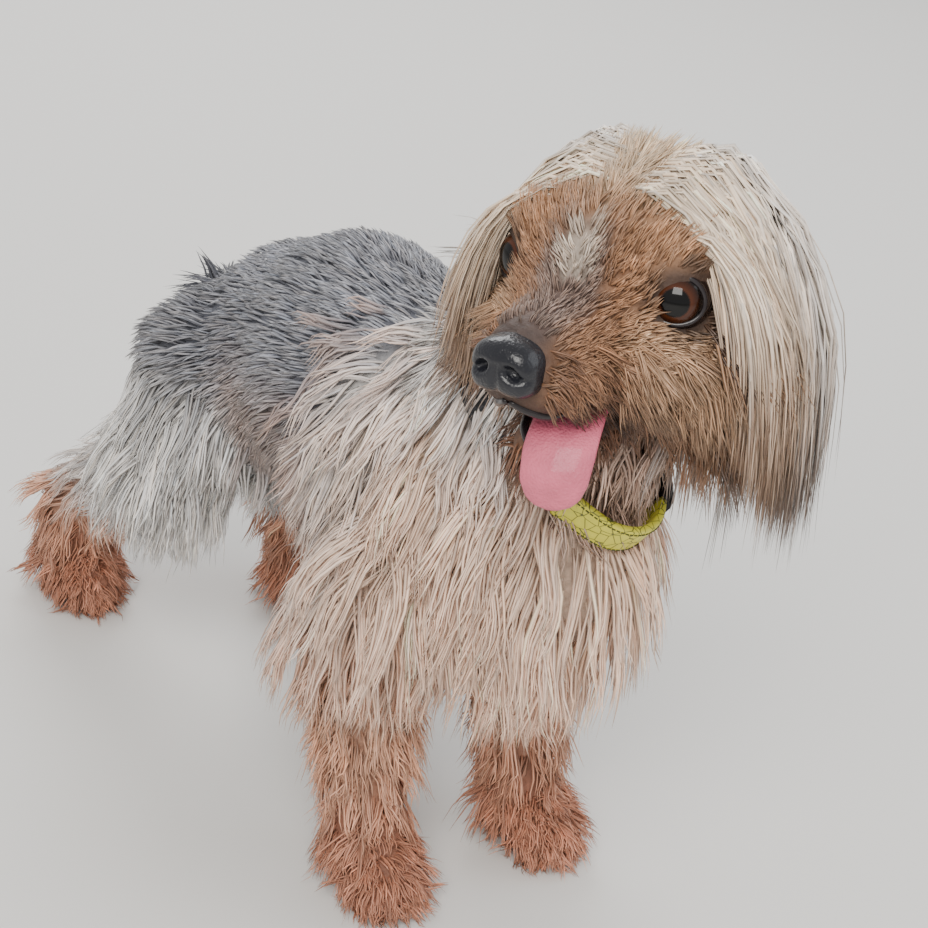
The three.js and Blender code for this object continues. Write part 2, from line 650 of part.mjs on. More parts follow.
const lips = {
  head: (grow) => lipPair(headField, UPPER_LIP, 1.7 + grow),
  jaw: (grow) => lipPair(jawForm, LOWER_LIP, 1.4 + grow),
};

// What sits in or on the form in a node of its own
const fittings = {
  eye_left: (grow) => ballSolid(1, EYE.radius + grow, 12, 8),
  eye_right: (grow) => ballSolid(-1, EYE.radius + grow, 12, 8),
  nose: noseSolid,
  tongue: tongueSolid,
  ...collarPieces,
  ear_left: (grow) => earSolid(1, grow),
  ear_right: (grow) => earSolid(-1, grow),
};

// The coat. Tiers of locks lie over one another like shingles, each tier set between the last.
const around = (n, from, to, tier) =>
  Array.from({ length: n }, (_, i) => mix(from, to, (i + 0.25 + 0.5 * (tier % 2)) / n));

// The ruff of the chest and shoulders
[168, 150, 132, 114].forEach((z, tier) => {
  for (const a of around(tier ? 8 : 6, -2.2, 2.2, tier)) {
    if (!tier && Math.abs(a) < 0.9) continue;
    const way = v(Math.sin(a), -Math.cos(a), -0.15);
    const comb = v(-0.06 * Math.sin(a), 0.1 - 0.2 * Math.cos(a), -1);
    const length = tier === 3 ? 40 : 48;
    growLock(bodyField, v(0, -2, z), way, comb, { length, width: 18, fall: 0.5 });
  }
});
// The fringe under the barrel
for (const s of [-1, 1])
  for (const y of [48, 64, 80, 96])
    growLock(bodyField, v(0, y, 138), v(s * 0.7, 0, -1), v(s * 0.1, 0.3, -1), {
      length: 26,
      width: 19,
      lift: 2.5,
    });
// The breeches under the tail
for (const x of [-0.5, 0, 0.5])
  growLock(bodyField, v(0, RUMP_Y, 122), v(x, 1, -0.1), v(0, 0.25, -1), { length: 26, width: 14, lift: 3 });
// The tail
for (const t of [0.1, 0.6])
  for (const x of [-1, 0, 1])
    growLock(bodyField, tailBones[1].a.clone().lerp(tailBones[1].b, t), v(x, 0.6, 0.3), v(0.2 * x, 0.4, -1), {
      length: 20,
      width: 8,
      thick: 2.6,
      lift: 2,
    });

// Tiers of locks round a limb. Angles are from straight ahead towards the outer side.
function dressLimb(b, s, tiers, count, from, to, o) {
  const axis = b.b.clone().sub(b.a).normalize();
  const front = v(0, -1, 0).addScaledVector(axis, axis.y).normalize();
  const outer = v(0, 0, 0).crossVectors(axis, front).normalize();
  outer.multiplyScalar(Math.sign(outer.x) * s);
  tiers.forEach((t, tier) => {
    for (const a of around(count, from, to, tier)) {
      const way = front.clone().multiplyScalar(Math.cos(a)).addScaledVector(outer, Math.sin(a));
      const comb = axis.clone().addScaledVector(DOWN, 0.6).addScaledVector(way, 0.2);
      growLock(bodyField, b.a.clone().lerp(b.b, t), way, comb, o);
    }
  });
}
for (const [name, { side }] of Object.entries(LEGS)) {
  const leg = legBones[name];
  dressLimb(leg.thigh, side, [0.35, 0.85], 4, 0.3, 3.3, { length: 38, width: 17, lift: 3, fall: 0.4 });
  dressLimb(leg.shank, side, [0.3, 0.66], 4, -0.9, 3.4, { length: 32, width: 16, lift: 3, fall: 0.35 });
  dressLimb(leg.hock, side, [0.02], 3, -0.9, 3.4, { length: 22, width: 17, lift: 2.5 });
  dressLimb(leg.foreleg, side, [0.2, 0.52, 0.86], 4, -Math.PI, Math.PI, { length: 26, width: 16, lift: 3 });
}

// The head: hair falls both ways from a parting along the middle of the skull
const skullMiddle = onHead(0, 4, 3);
const HEAD_LOCK = { node: "head", width: 18, thick: 3, lift: 4.5, fall: 0.34, rise: 0.45, rings: 3 };
// The left fall hangs free. The right one lies against the cheek, before the shoulder.
const FALL = {
  left: { s: 1, length: 1, lift: 16, back: 0.2, fall: 0.58, ear: 88 },
  right: { s: -1, length: 0.86, lift: 8, back: -0.1, fall: 0.62, ear: 66 },
};
for (const [name, side] of Object.entries(FALL)) {
  const s = side.s;
  [-13, -4, 8, 20, 30].forEach((y, row) => {
    const lean = (y - 4) / 40;
    const reach = [92, 110, 122, 112, 88][row] * side.length;
    for (const [tier, a] of [0.1, 0.75].entries()) {
      if (row % 4 === 0 && tier) continue;
      const way = alongHead(s * Math.sin(a), lean, Math.cos(a));
      const comb = alongHead(s * Math.cos(a), side.back + 0.3 * lean, 0.1 - Math.sin(a) * 0.6);
      const lift = row ? side.lift - 5 * tier : 6;
      growLock(headField, skullMiddle, way, comb, {
        ...HEAD_LOCK,
        length: reach - 24 * tier,
        lift,
        fall: side.fall,
        width: 22,
        rise: 0.2,
        swell: 1.2,
        rings: 4,
      });
    }
  });
  // The side of the face, from the temple to the throat
  for (const [y, z, length] of [[-8, -8, 46], [-15, -15, 32], [3, -16, 40]])
    growLock(headField, onHead(s * 6, y, z), alongHead(s, 0, -0.1), alongHead(s * 0.3, 0.25, -1), {
      ...HEAD_LOCK,
      length,
      width: 18,
      lift: 4,
      rise: 0.25,
    });
  // The moustache
  for (const [y, length] of [[-49, 13], [-40, 17], [-30, 20]])
    growLock(headField, onHead(0, y, -12), alongHead(s, -0.1, 0.1), alongHead(s * 0.5, 0.4, -0.75), {
      ...HEAD_LOCK,
      length,
      width: 10,
      thick: 2.4,
      lift: 2,
      rise: 0.3,
      rings: 3,
    });
  // The ear's hair, which hangs past the jaw
  for (const [z, length] of [[6, side.ear], [-8, side.ear - 16]])
    for (const y of [8, 21])
      growLock(everything, onHead(s * 36, y, z), alongHead(s, 0, 0.1), alongHead(s * 0.15, side.back, -1), {
        ...HEAD_LOCK,
        node: `ear_${name}`,
        length,
        width: 22,
        rise: 0.25,
        lift: 4,
        fall: 0.3,
      });
}
// The back of the skull and the nape
for (const [z, length, lift] of [[0.5, 72, 8], [-0.15, 50, 5]])
  for (const x of [-0.7, 0, 0.7])
    growLock(headField, skullMiddle, alongHead(x, 1, z), alongHead(0.3 * x, 0.35, -1), {
      ...HEAD_LOCK,
      length,
      lift,
      width: 24,
      fall: 0.5,
    });
// The throat, above the collar
const throatMiddle = neckBone.a.clone().lerp(neckBone.b, 0.8);
for (const a of [-1.1, -0.35, 0.4, 1.1])
  growLock(bodyField, throatMiddle, v(Math.sin(a), -Math.cos(a), -0.3), v(0, -0.2, -1), {
    length: 17,
    width: 13,
    lift: 3,
  });
// The beard
const jawMiddle = jawBone.a.clone().lerp(jawBone.b, 0.75);
for (const x of [-1, -0.4, 0.4, 1])
  growLock(jawField, jawMiddle, alongHead(x, -0.2, -0.8), alongHead(0.2 * x, -0.1, -1), {
    ...HEAD_LOCK,
    node: "jaw",
    length: 13,
    width: 8,
    thick: 2.4,
    lift: 2,
    rise: 0.3,
  });
// The wisps of the topknot
for (const [x, y] of [[-5, -6], [2, 0], [7, -9]])
  growLock(headField, onHead(x, y, 10), alongHead(0.1 * x, 0, 1), alongHead(0.08 * x, 0.5, 1), {
    ...HEAD_LOCK,
    length: 20,
    width: 5,
    thick: 2.2,
    rise: 0.7,
    fall: 0.5,
  });

// Joining. Each piece clears those that were made before it, then each node's locks clear
// every other node.
const FITTING_CLEARANCE = 0.6;
const CORE_CLEARANCE = 1.6;
const LOCK_CLEARANCE = 0.6;
const CORE_TOLERANCE = 1;
const FINAL_TOLERANCE = 0.3;
const touches = (a, b) => [0, 1, 2].every((i) => a.min[i] < b.max[i] && b.min[i] < a.max[i]);
const clearOf = (made, rooms) =>
  rooms.reduce((left, r) => (touches(left.boundingBox(), r.boundingBox()) ? left.subtract(r) : left), made);
const base = {};
const room = {};
for (const [node, make] of Object.entries(fittings)) {
  base[node] = largest(clearOf(make(0), Object.values(room)));
  room[node] = largest(make(FITTING_CLEARANCE));
}
const fitted = Object.values(room);
const orbits = [-1, 1].map((s) => ballSolid(s, EYE.radius + LIDS.thick, 12, 8));
for (const node of ["jaw", ...Object.keys(shareOf).filter((other) => other !== "jaw")]) {
  const lip = lips[node] ?? (() => []);
  let core = wasm.Manifold.union([coreSolid(node, 0).simplify(CORE_TOLERANCE), ...lip(0)]);
  if (node === "head") {
    core = wasm.Manifold.union([core, ...orbits]).subtract(lidOpening(1)).subtract(lidOpening(-1));
    core = core.subtract(room.jaw);
  }
  base[node] = largest(clearOf(core, fitted)).simplify(FINAL_TOLERANCE);
  const wider = wasm.Manifold.union([coreSolid(node, CORE_CLEARANCE), ...lip(CORE_CLEARANCE)]);
  room[node] = wider.simplify(CORE_TOLERANCE);
}

const nodes = Object.keys(base);
const dressed = {};
const lockRooms = {};
for (const node of nodes) {
  dressed[node] = base[node];
  if (!locks[node]) continue;
  const strips = (grow) => wasm.Manifold.union(locks[node].map(({ line, o }) => lockSolid(line, o, grow)));
  const others = nodes.filter((other) => other !== node).map((other) => room[other]);
  const coat = clearOf(strips(0), [...others, ...Object.values(lockRooms)]).trimByPlane([0, 0, 1], 1);
  dressed[node] = largest(base[node].add(coat));
  lockRooms[node] = strips(LOCK_CLEARANCE);
}

// Materials, in the photo's colours
const COLOURS = {
  head: 0xc9a184,
  jaw: 0x9a6a4c,
  nose: 0x1d2026,
  eye: 0x2a1712,
  tongue: 0xc4707e,
  ear: 0x5b4337,
  collar_strap: 0x1b1b1d,
  collar_buckle: 0x141416,
  collar_panel: 0xc5c04a,
  neck: 0xb9b0ab,
  chest: 0xcdb8a8,
  barrel: 0x74777f,
  rump: 0x666a73,
  tail: 0x4d4f57,
  thigh: 0xaeb0b6,
  foreleg: 0xb98266,
  forepaw: 0xa8644a,
  hindleg: 0xbb8569,
  hindpaw: 0xa8644a,
};
const ROUGH = { nose: 0.35, eye: 0.08, tongue: 0.4, collar_strap: 0.7, collar_panel: 0.5, collar_buckle: 0.35 };
const kindOf = (node) => node.replace(/_(left|right)$/, "");

function meshOf(node) {
  const { vertProperties, triVerts } = largest(dressed[node].simplify(FINAL_TOLERANCE)).getMesh();
  const geometry = new THREE.BufferGeometry();
  geometry.setAttribute("position", new THREE.BufferAttribute(new Float32Array(vertProperties), 3));
  geometry.setIndex(new THREE.BufferAttribute(new Uint32Array(triVerts), 1));
  geometry.computeVertexNormals();
  const kind = kindOf(node);
  const roughness = ROUGH[kind] ?? 0.85;
  const material = new THREE.MeshStandardMaterial({ color: COLOURS[kind], roughness, metalness: 0 });
  const mesh = new THREE.Mesh(geometry, material);
  mesh.name = node;
  return mesh;
}

// The origin is on the floor, under the middle of the model's box
const dog = new THREE.Group();
dog.add(...nodes.map(meshOf));
const box = new THREE.Box3().setFromObject(dog);
dog.position.set(-(box.min.x + box.max.x) / 2, -(box.min.y + box.max.y) / 2, -box.min.z);
dog.updateMatrixWorld(true);

export default dog;
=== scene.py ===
# %% [markdown]
# # A Yorkshire terrier, as a life-size still model
# The dog stands on four paws with its head turned to its right, its mouth open and its tongue
# out. What makes the breed is its coat: clipped steel-blue hair on the back, long silver and
# cream hair on the chest and thighs, tan legs, and a silky fall on each side of the head.
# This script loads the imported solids, puts one skin over the flesh, and grows the coat on it.

# %% Load the frame
import math
import bmesh
import bpy
import numpy as np
from mathutils import Matrix, Vector


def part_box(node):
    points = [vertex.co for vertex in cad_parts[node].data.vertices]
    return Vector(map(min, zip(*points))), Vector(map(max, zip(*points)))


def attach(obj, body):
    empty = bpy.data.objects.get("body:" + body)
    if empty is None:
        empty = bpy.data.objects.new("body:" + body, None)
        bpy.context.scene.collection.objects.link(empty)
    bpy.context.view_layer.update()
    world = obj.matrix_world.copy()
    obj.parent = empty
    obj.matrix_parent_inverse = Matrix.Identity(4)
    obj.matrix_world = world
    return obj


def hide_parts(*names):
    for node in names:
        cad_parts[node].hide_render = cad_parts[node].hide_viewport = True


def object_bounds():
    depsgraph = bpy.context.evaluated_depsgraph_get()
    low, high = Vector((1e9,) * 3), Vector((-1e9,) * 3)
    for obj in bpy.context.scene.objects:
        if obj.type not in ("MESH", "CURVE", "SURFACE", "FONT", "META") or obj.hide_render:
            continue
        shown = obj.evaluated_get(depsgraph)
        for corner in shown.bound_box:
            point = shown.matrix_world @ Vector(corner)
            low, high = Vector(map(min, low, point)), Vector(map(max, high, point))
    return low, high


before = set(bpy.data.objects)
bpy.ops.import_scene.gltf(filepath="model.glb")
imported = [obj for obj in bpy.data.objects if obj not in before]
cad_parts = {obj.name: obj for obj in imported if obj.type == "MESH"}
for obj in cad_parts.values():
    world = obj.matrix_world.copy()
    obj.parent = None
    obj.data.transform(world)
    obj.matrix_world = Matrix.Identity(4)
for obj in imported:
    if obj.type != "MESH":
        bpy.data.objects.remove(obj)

solid_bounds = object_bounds()
print("solids' box", solid_bounds)

# %% [markdown]
# ## The skeleton
# The solids were made from tapered bones, so the same bones carry the skin here. A bone has two
# ends, a radius at each, and the depth of the dense coat over the skin. Lengths are in
# millimetres, from a point on the floor between the fore paws. One known point, the middle of
# the left eye, says where that is in the frame.

# %% Bones
WITHERS = 200
RUMP_Y = 139
CHEST_Z = 152
TRACK = 31
HIND_TRACK = 41
SHORT = 8
LONG = 4
LEGS = {
    "right": dict(side=-1, elbow=20, wrist=6, toe=-8, knee=143, hock=216, heel=223, hind_toe=208),
    "left": dict(side=1, elbow=18, wrist=4, toe=-10, knee=126, hock=180, heel=174, hind_toe=160),
}


def turn(axis, degrees):
    return np.array(Matrix.Rotation(math.radians(degrees), 3, axis))


HEAD_CENTRE = np.array([-0.5, -57, 1.21 * WITHERS])
HEAD_TURN = turn("Z", -69.7) @ turn("X", -2) @ turn("Y", -3.5)


def on_head(x, y, z):
    return HEAD_CENTRE + HEAD_TURN @ np.array([x, y, z], float)


def along_head(x, y, z):
    return HEAD_TURN @ np.array([x, y, z], float)


def to_head(points):
    return (points - HEAD_CENTRE) @ HEAD_TURN


def bone(a, ra, b, rb, pad, pad_b=None, flat=1.0):
    pad_b = pad if pad_b is None else pad_b
    return (np.array(a, float), ra, np.array(b, float), rb, pad, pad_b, flat)


def head_bone(a, ra, b, rb, pad):
    return bone(on_head(*a), ra, on_head(*b), rb, pad)


BONES = {
    "rump": bone((0, RUMP_Y, 128), 30, (0, 114, 143), 34, SHORT, flat=0.92),
    "loin": bone((0, 114, 143), 34, (0, 78, 153), 40, SHORT, flat=0.86),
    "ribs": bone((0, 78, 153), 40, (0, 24, CHEST_Z), 43, SHORT, flat=0.8),
    "breast": bone((0, 24, CHEST_Z), 43, (0, -22, 143), 34, SHORT, LONG + 2, 0.84),
    "neck": bone((0, -6, 165), 29, (8, -47, 218), 23, LONG - 1),
}
for name, leg in LEGS.items():
    s = leg["side"]
    fore = s * TRACK
    hind = s * HIND_TRACK
    BONES[f"arm_{name}"] = bone((fore * 0.84, -2, 126), 20, (fore, leg["elbow"], 98), 16, LONG + 1)
    BONES[f"foreleg_{name}"] = bone((fore, leg["elbow"], 98), 14, (fore, leg["wrist"], 28), 8, LONG + 1, LONG)
    BONES[f"forepaw_{name}"] = bone((fore, leg["wrist"] - 2, 14), 10, (fore + s, leg["toe"], 10), 10, LONG)
    BONES[f"thigh_{name}"] = bone((s * 20, RUMP_Y + 2, 127), 27, (s * 34, leg["knee"], 104), 16, SHORT, LONG + 2)
    BONES[f"shank_{name}"] = bone((s * 34, leg["knee"], 104), 15, (hind, leg["hock"], 46), 8.5, LONG + 2, LONG)
    BONES[f"hock_{name}"] = bone((hind, leg["hock"], 46), 8.5, (hind, leg["heel"], 14), 8, LONG)
    BONES[f"hindpaw_{name}"] = bone((hind, leg["heel"], 13), 9, (hind + s, leg["hind_toe"], 10), 9, LONG)
BONES["tail_root"] = bone((0, 158, 141), 9, (0, 180, 134), 7.5, LONG)
BONES["tail_tip"] = bone((0, 180, 134), 7.5, (0, 191, 116), 5, LONG)
BODY = list(BONES)
BONES["skull"] = head_bone((0, 5, 3), 30, (0, -5, 1), 28, LONG)
BONES["brow"] = head_bone((18, -14, 11), 11.5, (-18, -14, 11), 11.5, 2)
BONES["muzzle"] = head_bone((0, -24, -10), 15, (0, -51, -11), 10.5, 3)
BONES["lips"] = head_bone((6, -49, -16), 7, (-6, -49, -16), 7, 2.5)
for s in (-1, 1):
    BONES[f"cheek_{s}"] = head_bone((s * 19, -5, -12), 17, (s * 14, -19, -12), 13, 4)
HEAD = [name for name in BONES if name not in BODY]
BONES["jaw"] = head_bone((0, -12, -27), 12, (0, -41, -38), 6.5, 3)
EARS = []
for s in (-1, 1):
    BONES[f"ear_{s}"] = head_bone((s * 33, 13, 15), 4, (s * 39, 15, -14), 4, 0)
    EARS.append(f"ear_{s}")
EYE = dict(x=22.5, y=-17, z=4, radius=9.5)
low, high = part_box("eye_left")
SHIFT = np.array((low + high) / 2) * 1000 - on_head(EYE["x"], EYE["y"], EYE["z"])
print("bones", len(BONES), "shift in mm", SHIFT.round(1))

# %% [markdown]
# ## The form as a depth
# How deep a point lies inside the form can be worked out for any point: it is the least distance
# to a bone, with the corners between bones rounded off. Where that depth is nought is the
# surface, and its slope is the surface's outward direction. Hair needs both, to stand on the
# skin and to hang over the body without going through it.

# %% Depth and slope
BODY_BLEND = 12
FACE_BLEND = 5
MOUTH_CORNER = on_head(0, -14, -24)
MOUTH_UP = along_head(0, -0.11, 0.99)
MOUTH_UP = MOUTH_UP / np.linalg.norm(MOUTH_UP)
SKIN_COAT = 0.5


def unit(a):
    return a / np.maximum(np.linalg.norm(a, axis=-1, keepdims=True), 1e-9)


def bone_depth(points, name, coat):
    a, ra, b, rb, pad, pad_b, flat = BONES[name]
    squash = np.array([1 / flat, 1, 1])
    q = (points - a) * squash
    d = (b - a) * squash
    t = np.clip(q @ d / (d @ d), 0, 1)
    away = np.linalg.norm(q - t[:, None] * d, axis=1)
    return away - ((ra + coat * pad) * (1 - t) + (rb + coat * pad_b) * t)


def blend(a, b, width):
    h = np.maximum(width - np.abs(a - b), 0) / width
    return np.minimum(a, b) - h * h * width / 4


def union(points, names, width, coat):
    least = bone_depth(points, names[0], coat)
    for name in names[1:]:
        least = blend(least, bone_depth(points, name, coat), width)
    return least


def core_depth(points):
    """Outside the dense coat of the whole dog, its ears included."""
    return union(points, BODY + HEAD + ["jaw"] + EARS, FACE_BLEND, 1.0)


def skin_depth(points):
    body = union(points, BODY, BODY_BLEND, SKIN_COAT)
    head = union(points, HEAD + ["neck"], FACE_BLEND, SKIN_COAT)
    jaw = np.maximum(bone_depth(points, "jaw", SKIN_COAT), (points - MOUTH_CORNER) @ MOUTH_UP)
    flesh = np.minimum(blend(body, head, 6), jaw)
    return np.maximum(flesh, 0.3 - points[:, 2])


PROBES = np.array([[1, -1, -1], [-1, -1, 1], [-1, 1, -1], [1, 1, 1]], float)


def outward(depth, points, probe=0.5):
    return unit(sum(k * depth(points + probe * k)[:, None] for k in PROBES))


print("depth under the withers", skin_depth(np.array([[0, 30, 150.0]])).round(1))

# %% [markdown]
# ## Materials
# Hair is thin, shiny along its length and never one colour. One node group works for skin and
# coat: it reads the colour that each point carries, and adds fine streaks and blotches. Another
# gives small grain to leather, plastic and webbing.

# %% Palette


def linear(r, g, b):
    """A colour picked on a screen, as the renderer wants it."""
    c = np.array([r, g, b], float) / 255
    return np.where(c <= 0.04045, c / 12.92, ((c + 0.055) / 1.055) ** 2.4)


STEEL = linear(132, 135, 147)
STEEL_DARK = linear(84, 86, 97)
SILVER = linear(222, 219, 217)
WHITE = linear(242, 237, 230)
CREAM = linear(244, 210, 184)
FAWN = linear(222, 172, 142)
TAN = linear(210, 158, 130)
RUST = linear(190, 127, 101)
GOLD = linear(228, 200, 168)
BROW_TAN = linear(182, 136, 101)
BROWN = linear(138, 96, 70)
DARK = linear(52, 38, 34)
BLACK = linear(20, 18, 19)

# %% Node groups
FLAT_SOCKETS = {"float": "NodeSocketFloat", "color": "NodeSocketColor", "vector": "NodeSocketVector"}


def new_group(name, inputs, outputs):
    group = bpy.data.node_groups.new(name, "ShaderNodeTree")
    for label, kind, value in inputs:
        socket = group.interface.new_socket(label, in_out="INPUT", socket_type=FLAT_SOCKETS[kind])
        if value is not None:
            socket.default_value = value
    for label, kind in outputs:
        group.interface.new_socket(label, in_out="OUTPUT", socket_type=FLAT_SOCKETS[kind])
    return group, group.nodes.new("NodeGroupInput"), group.nodes.new("NodeGroupOutput")


def add(tree, kind, **settings):
    node = tree.nodes.new(kind)
    for key, value in settings.items():
        setattr(node, key, value)
    return node


def math_node(tree, operation, a, b):
    node = add(tree, "ShaderNodeMath", operation=operation)
    for socket, value in zip(node.inputs, (a, b)):
        if isinstance(value, (int, float)):
            socket.default_value = value
        else:
            tree.links.new(value, socket)
    return node.outputs[0]


def make_hair_group():
    group, inside, out = new_group(
        "Hair tone",
        [("Colour", "color", None), ("Vector", "vector", None), ("Streaks", "float", 0.3), ("Scale", "float", 300.0)],
        [("Colour", "color"), ("Height", "float")],
    )
    link = group.links.new
    fine = add(group, "ShaderNodeTexNoise")
    fine.inputs["Detail"].default_value = 3.0
    link(inside.outputs["Vector"], fine.inputs["Vector"])
    link(inside.outputs["Scale"], fine.inputs["Scale"])
    wide = add(group, "ShaderNodeTexNoise")
    wide.inputs["Scale"].default_value = 38.0
    link(inside.outputs["Vector"], wide.inputs["Vector"])
    both = math_node(group, "ADD", fine.outputs["Fac"], wide.outputs["Fac"])
    centred = math_node(group, "SUBTRACT", both, 1.0)
    amount = math_node(group, "MULTIPLY", centred, inside.outputs["Streaks"])
    value = math_node(group, "ADD", math_node(group, "MULTIPLY", amount, 2.2), 1.0)
    tone = add(group, "ShaderNodeHueSaturation")
    link(value, tone.inputs["Value"])
    link(inside.outputs["Colour"], tone.inputs["Color"])
    link(tone.outputs["Color"], out.inputs["Colour"])
    link(fine.outputs["Fac"], out.inputs["Height"])
    return group


def make_grain_group():
    group, inside, out = new_group(
        "Fine grain",
        [("Vector", "vector", None), ("Scale", "float", 900.0), ("Amount", "float", 0.5), ("Roughness", "float", 0.4)],
        [("Height", "float"), ("Roughness", "float"), ("Mask", "float")],
    )
    link = group.links.new
    cells = add(group, "ShaderNodeTexVoronoi", feature="SMOOTH_F1")
    link(inside.outputs["Vector"], cells.inputs["Vector"])
    link(inside.outputs["Scale"], cells.inputs["Scale"])
    wear = add(group, "ShaderNodeTexNoise")
    wear.inputs["Scale"].default_value = 120.0
    wear.inputs["Detail"].default_value = 4.0
    link(inside.outputs["Vector"], wear.inputs["Vector"])
    height = math_node(group, "MULTIPLY", cells.outputs["Distance"], inside.outputs["Amount"])
    rough = math_node(group, "MULTIPLY", math_node(group, "SUBTRACT", wear.outputs["Fac"], 0.5), 0.35)
    link(height, out.inputs["Height"])
    link(math_node(group, "ADD", rough, inside.outputs["Roughness"]), out.inputs["Roughness"])
    link(wear.outputs["Fac"], out.inputs["Mask"])
    return group


HAIR_TONE = make_hair_group()
FINE_GRAIN = make_grain_group()


def new_material(name):
    material = bpy.data.materials.new(name)
    material.use_nodes = True
    tree = material.node_tree
    return material, tree, tree.nodes["Principled BSDF"]


def use_group(tree, group, **values):
    node = add(tree, "ShaderNodeGroup", node_tree=group)
    for key, value in values.items():
        node.inputs[key].default_value = value
    return node


def bump(tree, height, principled, strength, distance):
    node = add(tree, "ShaderNodeBump")
    node.inputs["Strength"].default_value = strength
    node.inputs["Distance"].default_value = distance
    tree.links.new(height, node.inputs["Height"])
    tree.links.new(node.outputs["Normal"], principled.inputs["Normal"])


def hair_material(name, streaks, scale, roughness, bumpy=None):
    material, tree, principled = new_material(name)
    place = add(tree, "ShaderNodeTexCoord")
    colour = add(tree, "ShaderNodeAttribute", attribute_name="coat_colour")
    tone = use_group(tree, HAIR_TONE, Streaks=streaks, Scale=scale)
    tree.links.new(place.outputs["Object"], tone.inputs["Vector"])
    tree.links.new(colour.outputs["Color"], tone.inputs["Colour"])
    tree.links.new(tone.outputs["Colour"], principled.inputs["Base Color"])
    principled.inputs["Roughness"].default_value = roughness
    principled.inputs["Specular IOR Level"].default_value = 0.45
    if bumpy:
        bump(tree, tone.outputs["Height"], principled, *bumpy)
    return material


def leather_material(name, colour, scale, amount, roughness, strength, coat=0.0):
    material, tree, principled = new_material(name)
    place = add(tree, "ShaderNodeTexCoord")
    grain = use_group(tree, FINE_GRAIN, Scale=scale, Amount=amount, Roughness=roughness)
    tree.links.new(place.outputs["Object"], grain.inputs["Vector"])
    shade = add(tree, "ShaderNodeMix", data_type="RGBA")
    shade.inputs["A"].default_value = (*(colour * 0.6), 1)
    shade.inputs["B"].default_value = (*np.minimum(colour * 1.45, 1), 1)
    tree.links.new(grain.outputs["Mask"], shade.inputs["Factor"])
    tree.links.new(shade.outputs["Result"], principled.inputs["Base Color"])
    tree.links.new(grain.outputs["Roughness"], principled.inputs["Roughness"])
    principled.inputs["Specular IOR Level"].default_value = 0.25
    principled.inputs["Coat Weight"].default_value = coat
    principled.inputs["Coat Roughness"].default_value = 0.08
    bump(tree, grain.outputs["Height"], principled, strength, 0.0006)
    return material


SKIN = hair_material("skin fur", 0.4, 420.0, 0.7, (0.7, 0.0015))
SILK = hair_material("silky hair", 0.22, 260.0, 0.42)
WAVY = hair_material("wavy hair", 0.25, 260.0, 0.5)
CLIPPED = hair_material("clipped hair", 0.3, 300.0, 0.48)
NOSE_LEATHER = leather_material("nose leather", linear(24, 25, 31), 1500.0, 0.5, 0.36, 0.6, coat=0.35)
LIP_SKIN = leather_material("lip skin", linear(30, 24, 26), 1200.0, 0.3, 0.3, 0.3, coat=0.4)
TONGUE_SKIN = leather_material("tongue", linear(196, 98, 118), 1700.0, 0.9, 0.5, 0.6, coat=0.2)
BUCKLE_PLASTIC = leather_material("buckle plastic", linear(20, 20, 23), 2600.0, 0.2, 0.36, 0.12)
print("materials", len(bpy.data.materials))

# %% [markdown]
# ## Markings
# A Yorkshire terrier is steel-blue over the back and tan on the head, chest and legs, with
# soft borders. The markings are a function of the place alone, so the skin under the hair and
# the roots of the hair agree. Soft steps mix one palette colour into the next.

# %% Markings


def step(value, low_edge, high_edge):
    t = np.clip((value - low_edge) / (high_edge - low_edge), 0, 1)
    return (t * t * (3 - 2 * t))[:, None]


def mix(a, b, t):
    return a * (1 - t) + b * t


def ripple(points, size, phase=0.0):
    """A smooth blotchy value from -1 to 1 over the form."""
    q = points / size
    wave = np.sin(q[:, 0] * 1.7 + 1.3 * np.sin(q[:, 2] * 1.1 + phase) + phase)
    return 0.5 * (wave + np.sin(q[:, 1] * 1.3 + q[:, 2] * 1.9 + 2.1 * np.sin(q[:, 0] + phase)))


def near(points, spot, inner, outer):
    return 1 - step(np.linalg.norm(points - spot, axis=1), inner, outer)


def body_colour(points):
    x, y, z = points.T
    blotch = ripple(points, 16)[:, None]
    base = mix(STEEL, STEEL_DARK, 0.35 + 0.25 * blotch)
    base = mix(base, STEEL_DARK, 0.75 * step(y, 112, 150) * step(z, 128, 150))
    # Brown comes through on the lower flank
    flank = step(y, 20, 50) * (1 - step(y, 92, 118)) * (1 - step(z, 138, 172))
    base = mix(base, linear(158, 130, 118), 0.75 * flank)
    # Silver on the thigh and the shoulder
    thigh = step(y, 94, 116) * (1 - step(z, 124, 150))
    base = mix(base, mix(SILVER, WHITE, 0.35 + 0.3 * blotch), 0.85 * thigh)
    shoulder = (1 - step(y, 22, 46)) * (1 - step(y, -8, 30) * step(z, 176, 196))
    base = mix(base, mix(SILVER, WHITE, 0.3 + 0.3 * blotch), shoulder)
    # Cream on the chest, from the throat down
    front = shoulder * (1 - step(y, -14, 26)) * (1 - step(z, 168, 202))
    base = mix(base, CREAM, 0.9 * front)
    low = shoulder * (1 - step(z, 96, 140))
    base = mix(base, FAWN, 0.75 * low)
    # Tan legs, reddest on the paws. The silver of the thigh reaches down to the hock.
    fore_leg = (1 - step(y, 44, 64)) * (1 - step(z, 86, 108))
    hind_leg = step(y, 64, 84) * (1 - step(z, 50, 84))
    leg = np.maximum(fore_leg, hind_leg)
    base = mix(base, mix(FAWN, TAN, step(-z, -86, -52)), leg)
    base = mix(base, RUST, 0.85 * (1 - step(z, 22, 56)))
    # The throat under the jaw is painted darker brown: partly its dark beard, partly painted shade under the jaw.
    beard_and_jaw_shade = near(points, on_head(0, -2, -44), 16, 32)
    base = mix(base, mix(BROWN, DARK, 0.3), 0.85 * beard_and_jaw_shade)
    tail = step(y, 166, 176) * step(z, 98, 112)
    return mix(base, STEEL_DARK * 0.7, tail)


